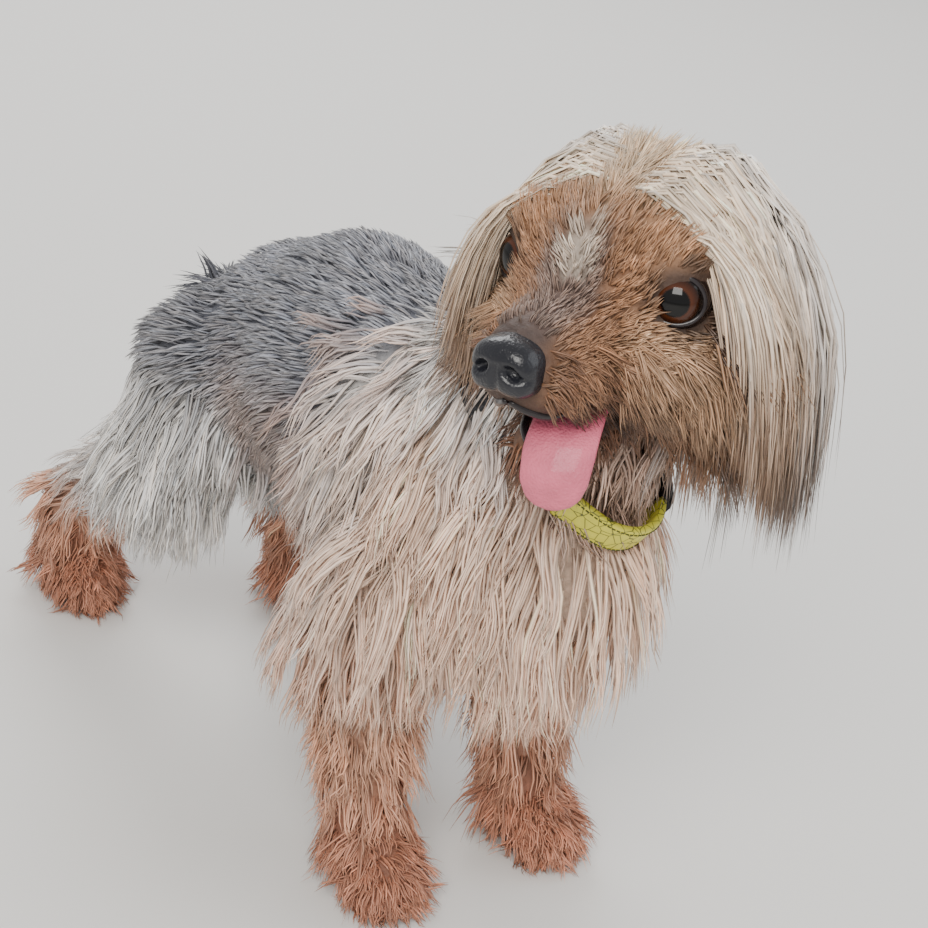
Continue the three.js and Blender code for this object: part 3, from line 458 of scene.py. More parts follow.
def head_colour(points):
    h = to_head(points)
    x, y, z = h.T
    out = np.abs(x)
    base = np.tile(GOLD, (len(points), 1))
    brow = (1 - step(y, -8, 8)) * (1 - step(z, 22, 32))
    base = mix(base, BROW_TAN, brow)
    muzzle = 1 - step(y, -34, -22)
    base = mix(base, mix(BROWN, BROW_TAN, 0.35), muzzle)
    top = muzzle * step(z, -8, -1) * (1 - step(out, 5, 11))
    base = mix(base, linear(112, 106, 108), 0.65 * top)
    blaze = (1 - step(out, 2, 6)) * step(z, 4, 9) * (1 - step(z, 16, 24)) * (1 - step(y, -22, -12))
    base = mix(base, mix(GOLD, WHITE, 0.5), 0.65 * blaze)
    cheek = step(out, 12, 20) * (1 - step(z, -8, 4)) * (1 - step(y, 8, 20))
    base = mix(base, mix(BROW_TAN, GOLD, 0.3), cheek)
    base = mix(base, mix(BROWN, DARK, 0.2), 0.8 * (1 - step(z, -30, -16)))
    base = mix(base, DARK, 0.8 * muzzle * (1 - step(z, -23, -12)))
    for s in (-1, 1):
        eye = near(h, np.array([s * EYE["x"], EYE["y"], EYE["z"]]), 10.5, 15)
        base = mix(base, DARK, 0.9 * eye)
    nose = near(h, np.array([0, -60, -9]), 9, 15)
    base = mix(base, DARK, 0.7 * nose)
    back = step(y, 16, 30)
    base = mix(base, mix(GOLD, BROWN, 0.45), back)
    return base


def jaw_colour(points):
    z = to_head(points)[:, 2]
    return mix(mix(BROWN, DARK, 0.3), DARK, step(z, -34, -28))


def marking(points):
    body = union(points, BODY, BODY_BLEND, 1)
    head = union(points, HEAD, FACE_BLEND, 1)
    jaw = bone_depth(points, "jaw", 1)
    colour = mix(body_colour(points), head_colour(points), step(body - head, -5, 7))
    return mix(colour, jaw_colour(points), step(np.minimum(head, body) - jaw, 0, 3))


# %% [markdown]
# ## One skin
# The flesh has to be one surface without seams. Each bone becomes a capsule, the hull round two
# balls, and a voxel remesh joins them all. That leaves small steps, so every point is then moved
# along the slope until its depth is nought, which is where the smooth form lies. The unwrap of
# this skin is kept, because each lock of hair takes its patch of it at its root.

# %% Skin
VOXEL = 0.0026
SPHERE_ROWS = 14


def finish(piece, material, slot_name, *nodes):
    """Everything that a finished piece needs: its material, its body and its solids. slot_name is not used."""
    piece.data.materials.clear()
    piece.data.materials.append(material)
    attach(piece, "root")
    if nodes:
        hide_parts(*nodes)
    triangles = sum(len(p.vertices) - 2 for p in piece.data.polygons)
    print(f"{piece.name}: {triangles} triangles")
    return piece


def new_piece(name, mesh):
    piece = bpy.data.objects.new(name, mesh)
    bpy.context.scene.collection.objects.link(piece)
    return piece


def to_frame(points):
    return (points + SHIFT) / 1000


def ball_points(centre, radius, flat):
    rows = np.linspace(0, math.pi, SPHERE_ROWS)
    turns = np.linspace(0, 2 * math.pi, 2 * SPHERE_ROWS, endpoint=False)
    r, t = [g.ravel() for g in np.meshgrid(rows, turns)]
    ball = np.stack([np.sin(r) * np.cos(t) * flat, np.sin(r) * np.sin(t), np.cos(r)], 1)
    return centre + radius * ball


def capsules(names):
    shape = bmesh.new()
    for name in names:
        a, ra, b, rb, pad, pad_b, flat = BONES[name]
        points = np.vstack([ball_points(a, ra + SKIN_COAT * pad, flat), ball_points(b, rb + SKIN_COAT * pad_b, flat)])
        hull = bmesh.new()
        for p in to_frame(points):
            hull.verts.new(p)
        bmesh.ops.convex_hull(hull, input=hull.verts)
        inner = [v for v in hull.verts if not v.link_faces]
        bmesh.ops.delete(hull, geom=inner, context="VERTS")
        mesh = bpy.data.meshes.new("hull")
        hull.to_mesh(mesh)
        shape.from_mesh(mesh)
        bpy.data.meshes.remove(mesh)
        hull.free()
    mesh = bpy.data.meshes.new("capsules")
    shape.to_mesh(mesh)
    shape.free()
    return mesh


def evaluated(piece):
    depsgraph = bpy.context.evaluated_depsgraph_get()
    return bpy.data.meshes.new_from_object(piece.evaluated_get(depsgraph))


def mesh_points(mesh):
    co = np.zeros(len(mesh.vertices) * 3)
    mesh.vertices.foreach_get("co", co)
    return co.reshape(-1, 3)


def neighbours_mean(mesh, points):
    edges = np.zeros(len(mesh.edges) * 2, int)
    mesh.edges.foreach_get("vertices", edges)
    a, b = edges.reshape(-1, 2).T
    total = np.zeros_like(points)
    count = np.zeros(len(points))
    for i, j in ((a, b), (b, a)):
        np.add.at(total, i, points[j])
        np.add.at(count, i, 1)
    return total / count[:, None]


def make_skin():
    rough = new_piece("rough_skin", capsules([n for n in BONES if n not in EARS]))
    remesh = rough.modifiers.new("join", "REMESH")
    remesh.mode = "VOXEL"
    remesh.voxel_size = VOXEL
    mesh = evaluated(rough)
    bpy.data.objects.remove(rough)
    points = mesh_points(mesh) * 1000 - SHIFT
    for relax in (0.5, 0.5, 0.3, 0.0, 0.0):
        points = mix(points, neighbours_mean(mesh, points), relax)
        depth = np.clip(skin_depth(points), -2.5, 2.5)
        points = points - depth[:, None] * outward(skin_depth, points)
    points[:, 2] = np.maximum(points[:, 2], 0.3)
    mesh.vertices.foreach_set("co", to_frame(points).ravel())
    mesh.update()
    mesh.shade_smooth()
    skin = new_piece("skin", mesh)
    mesh.uv_layers.new(name="OFBake")
    bpy.context.view_layer.objects.active = skin
    skin.select_set(True)
    bpy.ops.object.mode_set(mode="EDIT")
    bpy.ops.mesh.select_all(action="SELECT")
    bpy.ops.uv.smart_project(angle_limit=1.15, island_margin=0.002)
    bpy.ops.object.mode_set(mode="OBJECT")
    skin.select_set(False)
    return skin, points


skin, skin_points = make_skin()


def paint(mesh, colours):
    layer = mesh.color_attributes.new(name="coat_colour", type="FLOAT_COLOR", domain="POINT")
    rgba = np.ones((len(colours), 4))
    rgba[:, :3] = np.clip(colours, 0, 1)
    layer.data.foreach_set("color", rgba.ravel())


paint(skin.data, marking(skin_points) * 0.55)
FLESH = ["head", "jaw", "neck", "chest", "barrel", "rump", "tail"]
for kind in ("thigh", "hindleg", "hindpaw", "foreleg", "forepaw"):
    FLESH += [f"{kind}_left", f"{kind}_right"]
finish(skin, SKIN, "chest", *FLESH)

# %% [markdown]
# ## Where hair is rooted
# The skin's faces are cut into triangles, each with its area, and roots are drawn from them at
# random but with a fixed seed. What share of the roots a triangle gets depends on the region,
# so a region is a weight between nought and one for each triangle.

# %% Roots


def skin_triangles(mesh):
    mesh.calc_loop_triangles()
    corners = np.zeros(len(mesh.loop_triangles) * 3, int)
    loops = np.zeros(len(mesh.loop_triangles) * 3, int)
    mesh.loop_triangles.foreach_get("vertices", corners)
    mesh.loop_triangles.foreach_get("loops", loops)
    uv = np.zeros(len(mesh.loops) * 2)
    mesh.uv_layers["OFBake"].data.foreach_get("uv", uv)
    return corners.reshape(-1, 3), uv.reshape(-1, 2)[loops.reshape(-1, 3)]


CORNERS, CORNER_UVS = skin_triangles(skin.data)
TRIANGLES = skin_points[CORNERS]
AREAS = np.linalg.norm(np.cross(TRIANGLES[:, 1] - TRIANGLES[:, 0], TRIANGLES[:, 2] - TRIANGLES[:, 0]), axis=1) / 2
CENTRES = TRIANGLES.mean(1)
FACINGS = outward(skin_depth, CENTRES)
NAMES = [n for n in BONES if n not in EARS]
OWNERS = np.array(NAMES)[np.argmin([bone_depth(CENTRES, n, 1) for n in NAMES], axis=0)]
ON_HEAD = to_head(CENTRES)


def owned(*starts):
    return np.array([name.startswith(starts) for name in OWNERS], float)


def clear_of_eyes():
    """Nought over the eyes, the nose and the inside of the mouth."""
    keep = np.ones(len(CENTRES))
    for s in (-1, 1):
        away = np.linalg.norm(ON_HEAD - [s * (EYE["x"] + 1), EYE["y"] - 3, EYE["z"]], axis=1)
        keep *= away > 9.4
    keep *= np.linalg.norm(ON_HEAD - [0, -60, -9], axis=1) > 11
    mouth = (ON_HEAD[:, 1] < -16) & (np.abs(ON_HEAD[:, 0]) < 11)
    keep *= ~(mouth & (FACINGS @ MOUTH_UP < -0.4) & (ON_HEAD[:, 2] > -32))
    keep *= ~(mouth & (FACINGS @ MOUTH_UP > 0.5) & (ON_HEAD[:, 2] < -20))
    return keep


CLEAR = clear_of_eyes()


def draw_roots(weight, count, rng):
    share = AREAS * weight * CLEAR * (CENTRES[:, 2] > 2.2)
    chosen = rng.choice(len(AREAS), count, p=share / share.sum())
    a, b = rng.random((2, count))
    over = a + b > 1
    a[over], b[over] = 1 - a[over], 1 - b[over]
    weights = np.stack([1 - a - b, a, b], 1)
    points = np.einsum("nk,nkd->nd", weights, TRIANGLES[chosen])
    uv = np.einsum("nk,nkd->nd", weights, CORNER_UVS[chosen])
    return points, uv


print("skin area in square cm", round(AREAS.sum() / 100))

# %% [markdown]
# ## How hair grows
# A guide hair leaves its root along the comb and turns down as it goes. After each stride it is
# pushed out again if it has come nearer to the body than its lift. Many strands then follow each
# guide, spread out at the root and drawn together at the tip, as the tips of a lock are. A
# strand is a flat three-sided blade, which costs few triangles and still catches the light.

# %% Guides and strands
STRIDE = 20.0
DOWN = np.array([0, 0, -1.0])
PATCH = 0.003


def column(value, count):
    return np.broadcast_to(np.asarray(value, float), (count,))[:, None]


def grow_guides(points, comb, length, steps, lift=3, fall=0.4, rise=0.3, swell=1.6, sway=0.0):
    count = len(points)
    length, lift, fall, rise = [column(value, count) for value in (length, lift, fall, rise)]
    up = outward(core_depth, points)
    start = core_depth(points)[:, None]
    heading = unit(comb)
    heading = unit(heading + up * (rise - (heading * up).sum(1, keepdims=True)))
    side = unit(np.cross(heading, up))
    stride = length / steps
    turn_down = 1 - (1 - fall) ** (stride / STRIDE)
    p = points - 1.2 * up
    path, ups = [p], [up]
    p = points.copy()
    for i in range(1, steps + 1):
        t = i / steps
        p = p + heading * stride + side * column(sway, count) * stride * math.sin(4 * t)
        out = outward(core_depth, p)
        wanted = mix(start + 0.4, lift, min(1, swell * t))
        p = p + out * np.maximum(wanted - core_depth(p)[:, None], 0)
        p[:, 2] = np.maximum(p[:, 2], 1.2)
        path.append(p)
        ups.append(out)
        heading = unit(mix(heading, DOWN, turn_down))
    return np.stack(path, 1), np.stack(ups, 1)


def follow(path, ups, per_guide, spread, clump, wave, turns, frizz, rng, shorter=0.25):
    """Strands round each guide. clump is how far their tips are drawn to the guide's."""
    count, rings = path.shape[:2]
    t = np.linspace(0, 1, rings)[None, :, None]
    path = np.repeat(path, per_guide, 0)
    ups = np.repeat(ups, per_guide, 0)
    total = len(path)
    ahead = unit(np.gradient(path, axis=1))
    side = unit(np.cross(ahead, ups))
    angle = rng.random(total) * 2 * math.pi
    reach = spread * np.sqrt(rng.random(total))
    across = (reach * np.cos(angle))[:, None, None]
    along = (reach * np.sin(angle))[:, None, None]
    apart = 1 - clump * t ** 0.8
    root_ahead = unit(ahead[:, :1] - (ahead[:, :1] * ups[:, :1]).sum(2, keepdims=True) * ups[:, :1])
    moved = path + side[:, :1] * across * apart + root_ahead * along * apart
    phase = np.repeat(rng.random(count) * 2 * math.pi, per_guide)[:, None, None]
    phase = phase + rng.normal(0, 0.35, (total, 1, 1))
    moved = moved + side * wave * t * np.sin(2 * math.pi * turns * t + phase)
    moved = moved + 0.4 * ups * wave * t * np.cos(2 * math.pi * turns * t + phase)
    drift = rng.normal(0, 1, (total, 1, 3)) * frizz
    moved = moved + drift * t ** 1.5
    # Strands end at different lengths
    keep = 1 - shorter * rng.random((total, 1)) ** 1.5
    at = np.linspace(0, 1, rings)[None, :] * keep * (rings - 1)
    lower = np.minimum(at.astype(int), rings - 2)
    part = (at - lower)[:, :, None]
    row = np.arange(total)[:, None]
    moved = mix(moved[row, lower], moved[row, lower + 1], part)
    moved[:, 1:, 2] = np.maximum(moved[:, 1:, 2], 0.8)
    return held_in(moved), ups


SOLIDS_LOW, SOLIDS_HIGH = [np.array(p) * 1000 - SHIFT for p in solid_bounds]
PROUD = 5.0


def held_in(points):
    """Strands that leave the solids' box bend, so that they never pass PROUD mm beyond it."""
    over = np.maximum(points - SOLIDS_HIGH, 0)
    under = np.maximum(SOLIDS_LOW - points, 0)
    points = np.clip(points, SOLIDS_LOW, SOLIDS_HIGH)
    return points + PROUD * (np.exp(-under / PROUD) - np.exp(-over / PROUD))


def strand_mesh(name, path, ups, width, root_colour, tip_colour, uv, rng, tip_share=None):
    """One mesh of flat blades. width is the full width of each at its root."""
    total, rings = path.shape[:2]
    t = np.linspace(0, 1, rings)[None, :, None]
    ahead = unit(np.gradient(path, axis=1))
    roll = rng.normal(0, 0.3, (total, 1, 1))
    side = unit(np.cross(ahead, ups))
    flat = unit(np.cross(side, ahead))
    side, flat = side * np.cos(roll) + flat * np.sin(roll), flat * np.cos(roll) - side * np.sin(roll)
    shape = (0.8 + 0.5 * t) * (1 - t ** 1.9)
    half = 0.5 * np.broadcast_to(np.asarray(width, float).reshape(-1, 1, 1), (total, 1, 1)) * shape
    left = path - side * half
    right = path + side * half
    top = path + flat * half * 0.55
    blades = np.stack([left, top, right], 2)[:, :-1].reshape(total, -1, 3)
    points = np.concatenate([blades, path[:, -1:]], 1)
    faces = [(0, 2, 1)]
    last = 3 * (rings - 1)
    for r in range(rings - 2):
        for s in range(3):
            a, b = 3 * r + s, 3 * r + (s + 1) % 3
            faces += [(a, b, b + 3), (a, b + 3, a + 3)]
    faces += [(last - 3 + s, last - 3 + (s + 1) % 3, last) for s in range(3)]
    faces = np.array(faces)
    per_strand = last + 1
    faces = (faces[None] + (np.arange(total) * per_strand)[:, None, None]).reshape(-1, 3)
    mesh = bpy.data.meshes.new(name)
    mesh.from_pydata(to_frame(points.reshape(-1, 3)), [], faces)
    mesh.shade_smooth()
    share = t if tip_share is None else tip_share(t)
    tone = mix(root_colour[:, None], tip_colour[:, None], share)
    shades = np.repeat(tone[:, :-1], 3, 1)
    paint(mesh, np.concatenate([shades, tone[:, -1:]], 1).reshape(-1, 3))
    across = np.tile([-0.5, 0.0, 0.5], rings - 1)
    down = np.repeat(np.linspace(-0.5, 0.4, rings - 1), 3)
    spot = np.stack([np.append(across, 0), np.append(down, 0.5)], 1) * PATCH
    patches = np.clip(uv[:, None] + spot[None], 0.001, 0.999).reshape(-1, 2)
    layer = mesh.uv_layers.new(name="OFBake")
    layer.data.foreach_set("uv", patches[faces.ravel()].ravel())
    return new_piece(name, mesh)


def vary(colour, amount, rng, greys=0.0):
    """Each strand a little lighter or darker than its neighbours."""
    light = np.exp(rng.normal(0, amount, (len(colour), 1)))
    warm = 1 + rng.normal(0, greys, (len(colour), 1)) * np.array([[1, 0.1, -1.0]])
    return colour * light * warm


print("guides and strands are ready")

# %% [markdown]
# ## The coat, region by region
# Every region is a set of rules: where its roots lie, which way the comb runs, how long, wide and
# wavy its hair is, and how its colour changes from root to tip. One function turns the rules into
# one piece, so a region can be tried and changed alone.

# %% One coat piece


def sided(s, x, y, z):
    """A comb in the head's frame that is mirrored for the right side of the head."""
    return np.stack([s * x, np.broadcast_to(y, s.shape), np.broadcast_to(z, s.shape)], 1) @ HEAD_TURN.T


def coat_piece(name, slot_name, material, seed, roots, uv, comb, tone, guides, strands, width, tip_from=1.0):
    """tip_from is the power by which the tip's colour comes in: a high one keeps it to the end."""
    rng = np.random.default_rng(seed)
    path, ups = grow_guides(roots, comb, **guides)
    per_guide = strands["per_guide"]
    moved, ups = follow(path, ups, rng=rng, **strands)
    root_colour, tip_colour = tone(np.repeat(roots, per_guide, 0), moved)
    guide_light = np.repeat(np.exp(rng.normal(0, 0.16, (len(roots), 1))), per_guide, 0)
    root_colour = vary(root_colour, 0.14, rng, 0.03) * guide_light
    tip_colour = vary(tip_colour, 0.16, rng, 0.03) * guide_light
    wide = width * rng.uniform(0.7, 1.25, len(moved))
    root_uv = np.repeat(uv, per_guide, 0)
    piece = strand_mesh(name, moved, ups, wide, root_colour, tip_colour, root_uv, rng, lambda t: t ** tip_from)
    return finish(piece, material, slot_name)


def jitter(vectors, amount, rng):
    return unit(unit(vectors) + rng.normal(0, amount, vectors.shape))


def lighter_tips(amount, colour=WHITE):
    def tone(roots, path):
        base = marking(roots)
        return base * 0.8, mix(base, colour, amount)
    return tone


# %% [markdown]
# ### The clipped back
# On the back the hair is cut to about a centimetre and lies flat towards the tail. The skin has
# most of this look from its bump, and short blades break its outline and its shine.

# %% Back and flanks
x, y, z = CENTRES.T
ruff_zone = (step(-y, -52, -28) * (1 - step(z, 186, 200) * step(y, 0, 16)))[:, 0]
leg_zone = owned("foreleg", "shank", "hock")
paw_zone = owned("forepaw", "hindpaw")
trunk = owned("rump", "loin", "ribs", "breast", "neck", "thigh", "arm")
thigh_zone = trunk * (step(y, 96, 118) * (1 - step(z, 124, 146)))[:, 0]
tail_zone = owned("tail")
back_zone = trunk * (1 - ruff_zone) * (1 - 0.7 * thigh_zone)
for part, s in (("right", -1), ("left", 1)):
    rng = np.random.default_rng(11 + s)
    roots, uv = draw_roots(back_zone * (s * x > 0), 1950, rng)
    rx, ry, rz = roots.T
    side_on = np.clip((176 - rz) / 50, 0, 1)
    comb = np.stack([0.1 * np.sign(rx), 1 - 0.3 * side_on, -0.25 - 0.75 * side_on], 1)
    length = 11 + 6 * side_on + 6 * (rz < 112)
    coat_piece(
        f"coat_back_{part}", "barrel", CLIPPED, 21 + s, roots, uv, jitter(comb, 0.13, rng),
        lighter_tips(0.2),
        dict(length=length, steps=3, lift=0.5, fall=0.25, rise=0.12, swell=1.5),
        dict(per_guide=3, spread=2.8, clump=0.2, wave=0.2, turns=0.6, frizz=0.35),
        1.2,
    )

# %% [markdown]
# ### The ruff, the breeches and the legs
# The long coat hangs in wavy locks from the neck and shoulders over the chest, and from the rump
# over the thighs. It is silver at the shoulder, cream to fawn on the chest, and tan on the legs.

# %% Ruff
RUFF_LENGTH = 47


def ruff_tone(roots, path):
    base = marking(roots)
    tip = mix(base, FAWN, 0.5)
    return base * 0.88, mix(tip, WHITE, 0.15)


for part, s in (("right", -1), ("left", 1)):
    rng = np.random.default_rng(31 + s)
    area = trunk * ruff_zone * (z > 96) * (s * x > -1)
    roots, uv = draw_roots(area, 300, rng)
    rx, ry, rz = roots.T
    angle = np.arctan2(rx, -(ry + 2))
    back_of_neck = np.clip((np.abs(angle) - 1.9) / 0.8, 0, 1)
    comb = np.stack([0.05 * np.sin(angle), 0.1 - 0.2 * np.cos(angle) + 0.9 * back_of_neck, -1 + 0.3 * back_of_neck], 1)
    length = np.clip(np.interp(rz, [98, 120, 150, 178, 210], [40, 46, RUFF_LENGTH, 40, 28]), 20, 60)
    length = length * (1 - 0.35 * back_of_neck)
    coat_piece(
        f"coat_ruff_{part}", "chest", SILK, 41 + s, roots, uv, jitter(comb, 0.16, rng), ruff_tone,
        dict(length=length, steps=6, lift=rng.uniform(0.8, 4.2, len(roots)), fall=0.5, rise=0.3, swell=1.6,
             sway=rng.normal(0, 0.18, len(roots))),
        dict(per_guide=10, spread=5.6, clump=0.78, wave=2.6, turns=1.1, frizz=1.5),
        1.35,
    )

# %% Thighs
for part, s in (("right", -1), ("left", 1)):
    rng = np.random.default_rng(51 + s)
    roots, uv = draw_roots(thigh_zone * (s * x > 2), 230, rng)
    comb = np.stack([0.06 * np.sign(roots[:, 0]), np.full(len(roots), 0.3), np.full(len(roots), -1.0)], 1)
    coat_piece(
        f"coat_thigh_{part}", "thigh", SILK, 61 + s, roots, uv, jitter(comb, 0.14, rng),
        lighter_tips(0.35),
        dict(length=rng.uniform(30, 42, len(roots)), steps=5, lift=rng.uniform(0.8, 3.6, len(roots)), fall=0.4, rise=0.3,
             sway=rng.normal(0, 0.15, len(roots))),
        dict(per_guide=9, spread=4.8, clump=0.75, wave=2.0, turns=0.9, frizz=1.4),
        1.25,
    )

# %% Legs
for part, s in (("right", -1), ("left", 1)):
    for end, slot_name in (("foreleg", "foreleg"), ("shank", "hindleg"), ("hock", "hindleg")):
        rng = np.random.default_rng(71 + s + len(end))
        roots, uv = draw_roots(owned(end) * (s * x > 0), 240 if end != "hock" else 120, rng)
        ups = outward(core_depth, roots)
        comb = np.array([0, 0.22 if end != "foreleg" else 0.05, -1.0]) + 0.25 * ups
        coat_piece(
            f"coat_{end}_{part}", slot_name, WAVY, 81 + s, roots, uv, jitter(comb, 0.25, rng),
            lighter_tips(0.14, FAWN),
            dict(length=rng.uniform(16, 27, len(roots)), steps=4, lift=rng.uniform(0.5, 3.0, len(roots)), fall=0.3,
                 rise=0.4, sway=rng.normal(0, 0.25, len(roots))),
            dict(per_guide=7, spread=3.6, clump=0.72, wave=2.0, turns=1.2, frizz=1.5),
            1.1,
        )

# %% Paws and tail
for part, s in (("right", -1), ("left", 1)):
    for end in ("forepaw", "hindpaw"):
        rng = np.random.default_rng(91 + s + len(end))
        roots, uv = draw_roots(owned(end) * (s * x > 0) * (z > 3), 250, rng)
        ups = outward(core_depth, roots)
        comb = np.array([0, -0.5, -0.8]) + 0.3 * ups
        coat_piece(
            f"coat_{end}_{part}", end, WAVY, 95 + s, roots, uv, jitter(comb, 0.3, rng),
            lighter_tips(0.1, FAWN),
            dict(length=rng.uniform(8, 14, len(roots)), steps=4, lift=0.8, fall=0.3, rise=0.45,
                 sway=rng.normal(0, 0.3, len(roots))),
            dict(per_guide=5, spread=2.6, clump=0.6, wave=1.0, turns=1.0, frizz=1.1),
            0.95,
        )
rng = np.random.default_rng(99)
roots, uv = draw_roots(tail_zone, 110, rng)
comb = np.tile([0, 0.5, -0.8], (len(roots), 1))
coat_piece(
    "coat_tail", "tail", CLIPPED, 98, roots, uv, jitter(comb, 0.25, rng), lighter_tips(0.05),
    dict(length=20, steps=4, lift=1.5, fall=0.3, rise=0.4),
    dict(per_guide=8, spread=3.0, clump=0.5, wave=0.8, turns=0.8, frizz=1.2),
    1.0,
)

# %% [markdown]
# ### The head
# The falls start along the parting on the crown and hang past the cheeks, each strand running out
# to the side before it turns down. The ears hang inside them, and the ears' own dark hair shows
# under and behind. The face has short hair that fans out from the eyes and the nose.

# %% Falls
hx, hy, hz = ON_HEAD.T
FALLS = {
    "left": dict(s=1, length=1.0, lift=16, back=0.2, fall=0.58),
    "right": dict(s=-1, length=0.86, lift=11, back=-0.1, fall=0.62),
}
ROWS = [-13, -4, 8, 20, 30]
REACHES = [92, 110, 122, 112, 88]


def fall_tone(roots, path):
    h = to_head(roots)
    root = mix(GOLD, WHITE, 0.3)[None] * np.ones((len(roots), 1))
    root = mix(root, SILVER, 0.55 * step(h[:, 1], -6, 4) * (1 - step(h[:, 1], 16, 28)))
    root = mix(root, BROW_TAN, 0.45 * step(h[:, 1], 20, 32))
    tip = mix(mix(BROW_TAN, BROWN, 0.5)[None], DARK, 0.4 + 0.6 * step(h[:, 1], -4, 14))
    return root, tip


# The front half and the back half are pieces of their own, to stay small
for part, side in FALLS.items():
    for half, front, back, low, count in (("front", -15, 7, 9, 230), ("back", 7, 38, -8, 245)):
        s = side["s"]
        rng = np.random.default_rng(101 + s + count)
        top = (hz > low) * (np.abs(hx) < 29) * (hy > front) * (hy < back) * (s * hx > -0.5)
        roots, uv = draw_roots(owned("skull", "brow", "cheek") * top, count, rng)
        h = to_head(roots)
        a = np.arctan2(np.abs(h[:, 0]), h[:, 2] - 3)
        tier = np.clip((a - 0.1) / 0.65, 0, 1.3)
        lean = (h[:, 1] - 4) / 40
        comb = sided(s * np.cos(a), 1.0, side["back"] + 0.3 * lean, 0.1 - 0.6 * np.sin(a))
        reach = 1.12 * np.interp(h[:, 1], ROWS, REACHES) * side["length"] - 24 * tier
        lift = np.where(h[:, 1] < -9, 5, side["lift"] - 4 * np.minimum(tier, 1)) * rng.uniform(0.5, 1.05, len(roots))
        coat_piece(
            f"coat_fall_{part}_{half}", "head", SILK, 111 + s, roots, uv, jitter(comb, 0.06, rng), fall_tone,
            dict(length=reach * rng.uniform(0.86, 1.03, len(roots)), steps=7, lift=lift, fall=side["fall"],
                 rise=0.15, swell=1.2, sway=rng.normal(0, 0.04, len(roots))),
            dict(per_guide=10 if s > 0 else 7, spread=4.8, clump=0.3, wave=1.0, turns=0.8, frizz=2.0, shorter=0.2),
            1.5,
            tip_from=2.4,
        )

# %% Nape, cheeks, moustache and beard


def head_roots(weight, count, rng):
    roots, uv = draw_roots(weight, count, rng)
    return roots, uv, to_head(roots)


def browned_tips(roots, path):
    base = marking(roots)
    return base, mix(base, DARK, 0.35)


rng = np.random.default_rng(120)
roots, uv, h = head_roots(owned("skull", "neck") * (hy > 14) * (hz > -24) * (hz < 24), 320, rng)
comb = sided(np.sign(h[:, 0]), np.abs(h[:, 0]) / 60, 0.35, -1)
coat_piece(
    "coat_nape", "head", SILK, 121, roots, uv, jitter(comb, 0.1, rng), fall_tone,
    dict(length=np.interp(h[:, 2], [-24, 0, 22], [34, 54, 72]), steps=6, lift=rng.uniform(1, 7, len(roots)), fall=0.6, rise=0.15),
    dict(per_guide=6, spread=4.6, clump=0.45, wave=0.9, turns=0.8, frizz=1.6),
    1.4,
)
rng = np.random.default_rng(122)
cheek_area = (np.abs(hx) > 13) * (hy > -24) * (hy < 14) * (hz < 2) * (hz > -36)
roots, uv, h = head_roots(owned("cheek", "skull", "neck") * cheek_area, 340, rng)
coat_piece(
    "coat_cheeks", "head", SILK, 123, roots, uv, jitter(sided(np.sign(h[:, 0]), 0.3, 0.3, -1), 0.14, rng), browned_tips,
    dict(length=np.interp(h[:, 1], [-24, -12, 4, 14], [16, 30, 42, 42]), steps=5, lift=rng.uniform(0.6, 4, len(roots)), fall=0.34, rise=0.3),
    dict(per_guide=7, spread=3.2, clump=0.5, wave=1.0, turns=0.9, frizz=1.4),
    1.0,
)
rng = np.random.default_rng(124)
muzzle_side = owned("muzzle", "lips", "cheek") * (np.abs(hx) > 4) * (hy < -20) * (hz < -5)
roots, uv, h = head_roots(muzzle_side, 290, rng)
coat_piece(
    "coat_moustache", "head", WAVY, 125, roots, uv, jitter(sided(np.sign(h[:, 0]), 0.45, 0.5, -0.75), 0.2, rng), browned_tips,
    dict(length=np.interp(h[:, 1], [-54, -40, -24], [8, 13, 17]), steps=4, lift=1.3, fall=0.3, rise=0.35),
    dict(per_guide=7, spread=2.2, clump=0.45, wave=0.6, turns=0.9, frizz=0.9),
    0.7,
)
rng = np.random.default_rng(126)
roots, uv, h = head_roots(owned("jaw") * (hz < -28), 190, rng)
coat_piece(
    "coat_beard", "jaw", WAVY, 127, roots, uv, jitter(sided(np.sign(h[:, 0]), 0.15, 0.15, -1), 0.25, rng), browned_tips,
    dict(length=rng.uniform(7, 14, len(roots)), steps=4, lift=1.4, fall=0.3, rise=0.35),
    dict(per_guide=7, spread=2.2, clump=0.5, wave=0.5, turns=0.9, frizz=0.9),
    0.7,
)

# %% [markdown]
# ### The short hair of the face
# Here every hair is under a centimetre. It runs back over the muzzle, up over the forehead, and
# away from the eyes, so the comb is the direction away from the eye mixed with those two.

# %% Face
rng = np.random.default_rng(130)
face = owned("skull", "brow", "muzzle", "lips", "cheek") * (hy < 2) * (hz > -14) * (hz < 34)
roots, uv, h = head_roots(face, 1950, rng)
s = np.sign(h[:, 0])
comb = sided(s, 0.25, 0.75, 0.25)
for t in (-1, 1):
    eye = on_head(t * EYE["x"], EYE["y"], EYE["z"])
    away = np.exp(-np.linalg.norm(roots - eye, axis=1) / 9)[:, None]
    comb = comb + 2.2 * away * unit(roots - eye)
length = np.interp(h[:, 1], [-56, -36, -18, 0], [3.5, 5, 7.5, 13])
coat_piece(
    "coat_face", "head", CLIPPED, 131, roots, uv, jitter(comb, 0.16, rng), lighter_tips(0.08, GOLD),
    dict(length=length, steps=3, lift=0.5, fall=0.12, rise=0.3, swell=1.2),
    dict(per_guide=4, spread=1.6, clump=0.3, wave=0.25, turns=0.7, frizz=0.4),
    0.7,
)

# %% [markdown]
# ## Ears
# Each ear is a dropped flap, cupped on its inner face. It is a loft: one outline carried along a
# curved line and scaled on the way. Its long hair starts on its outer face.

# %% Helpers for lofts


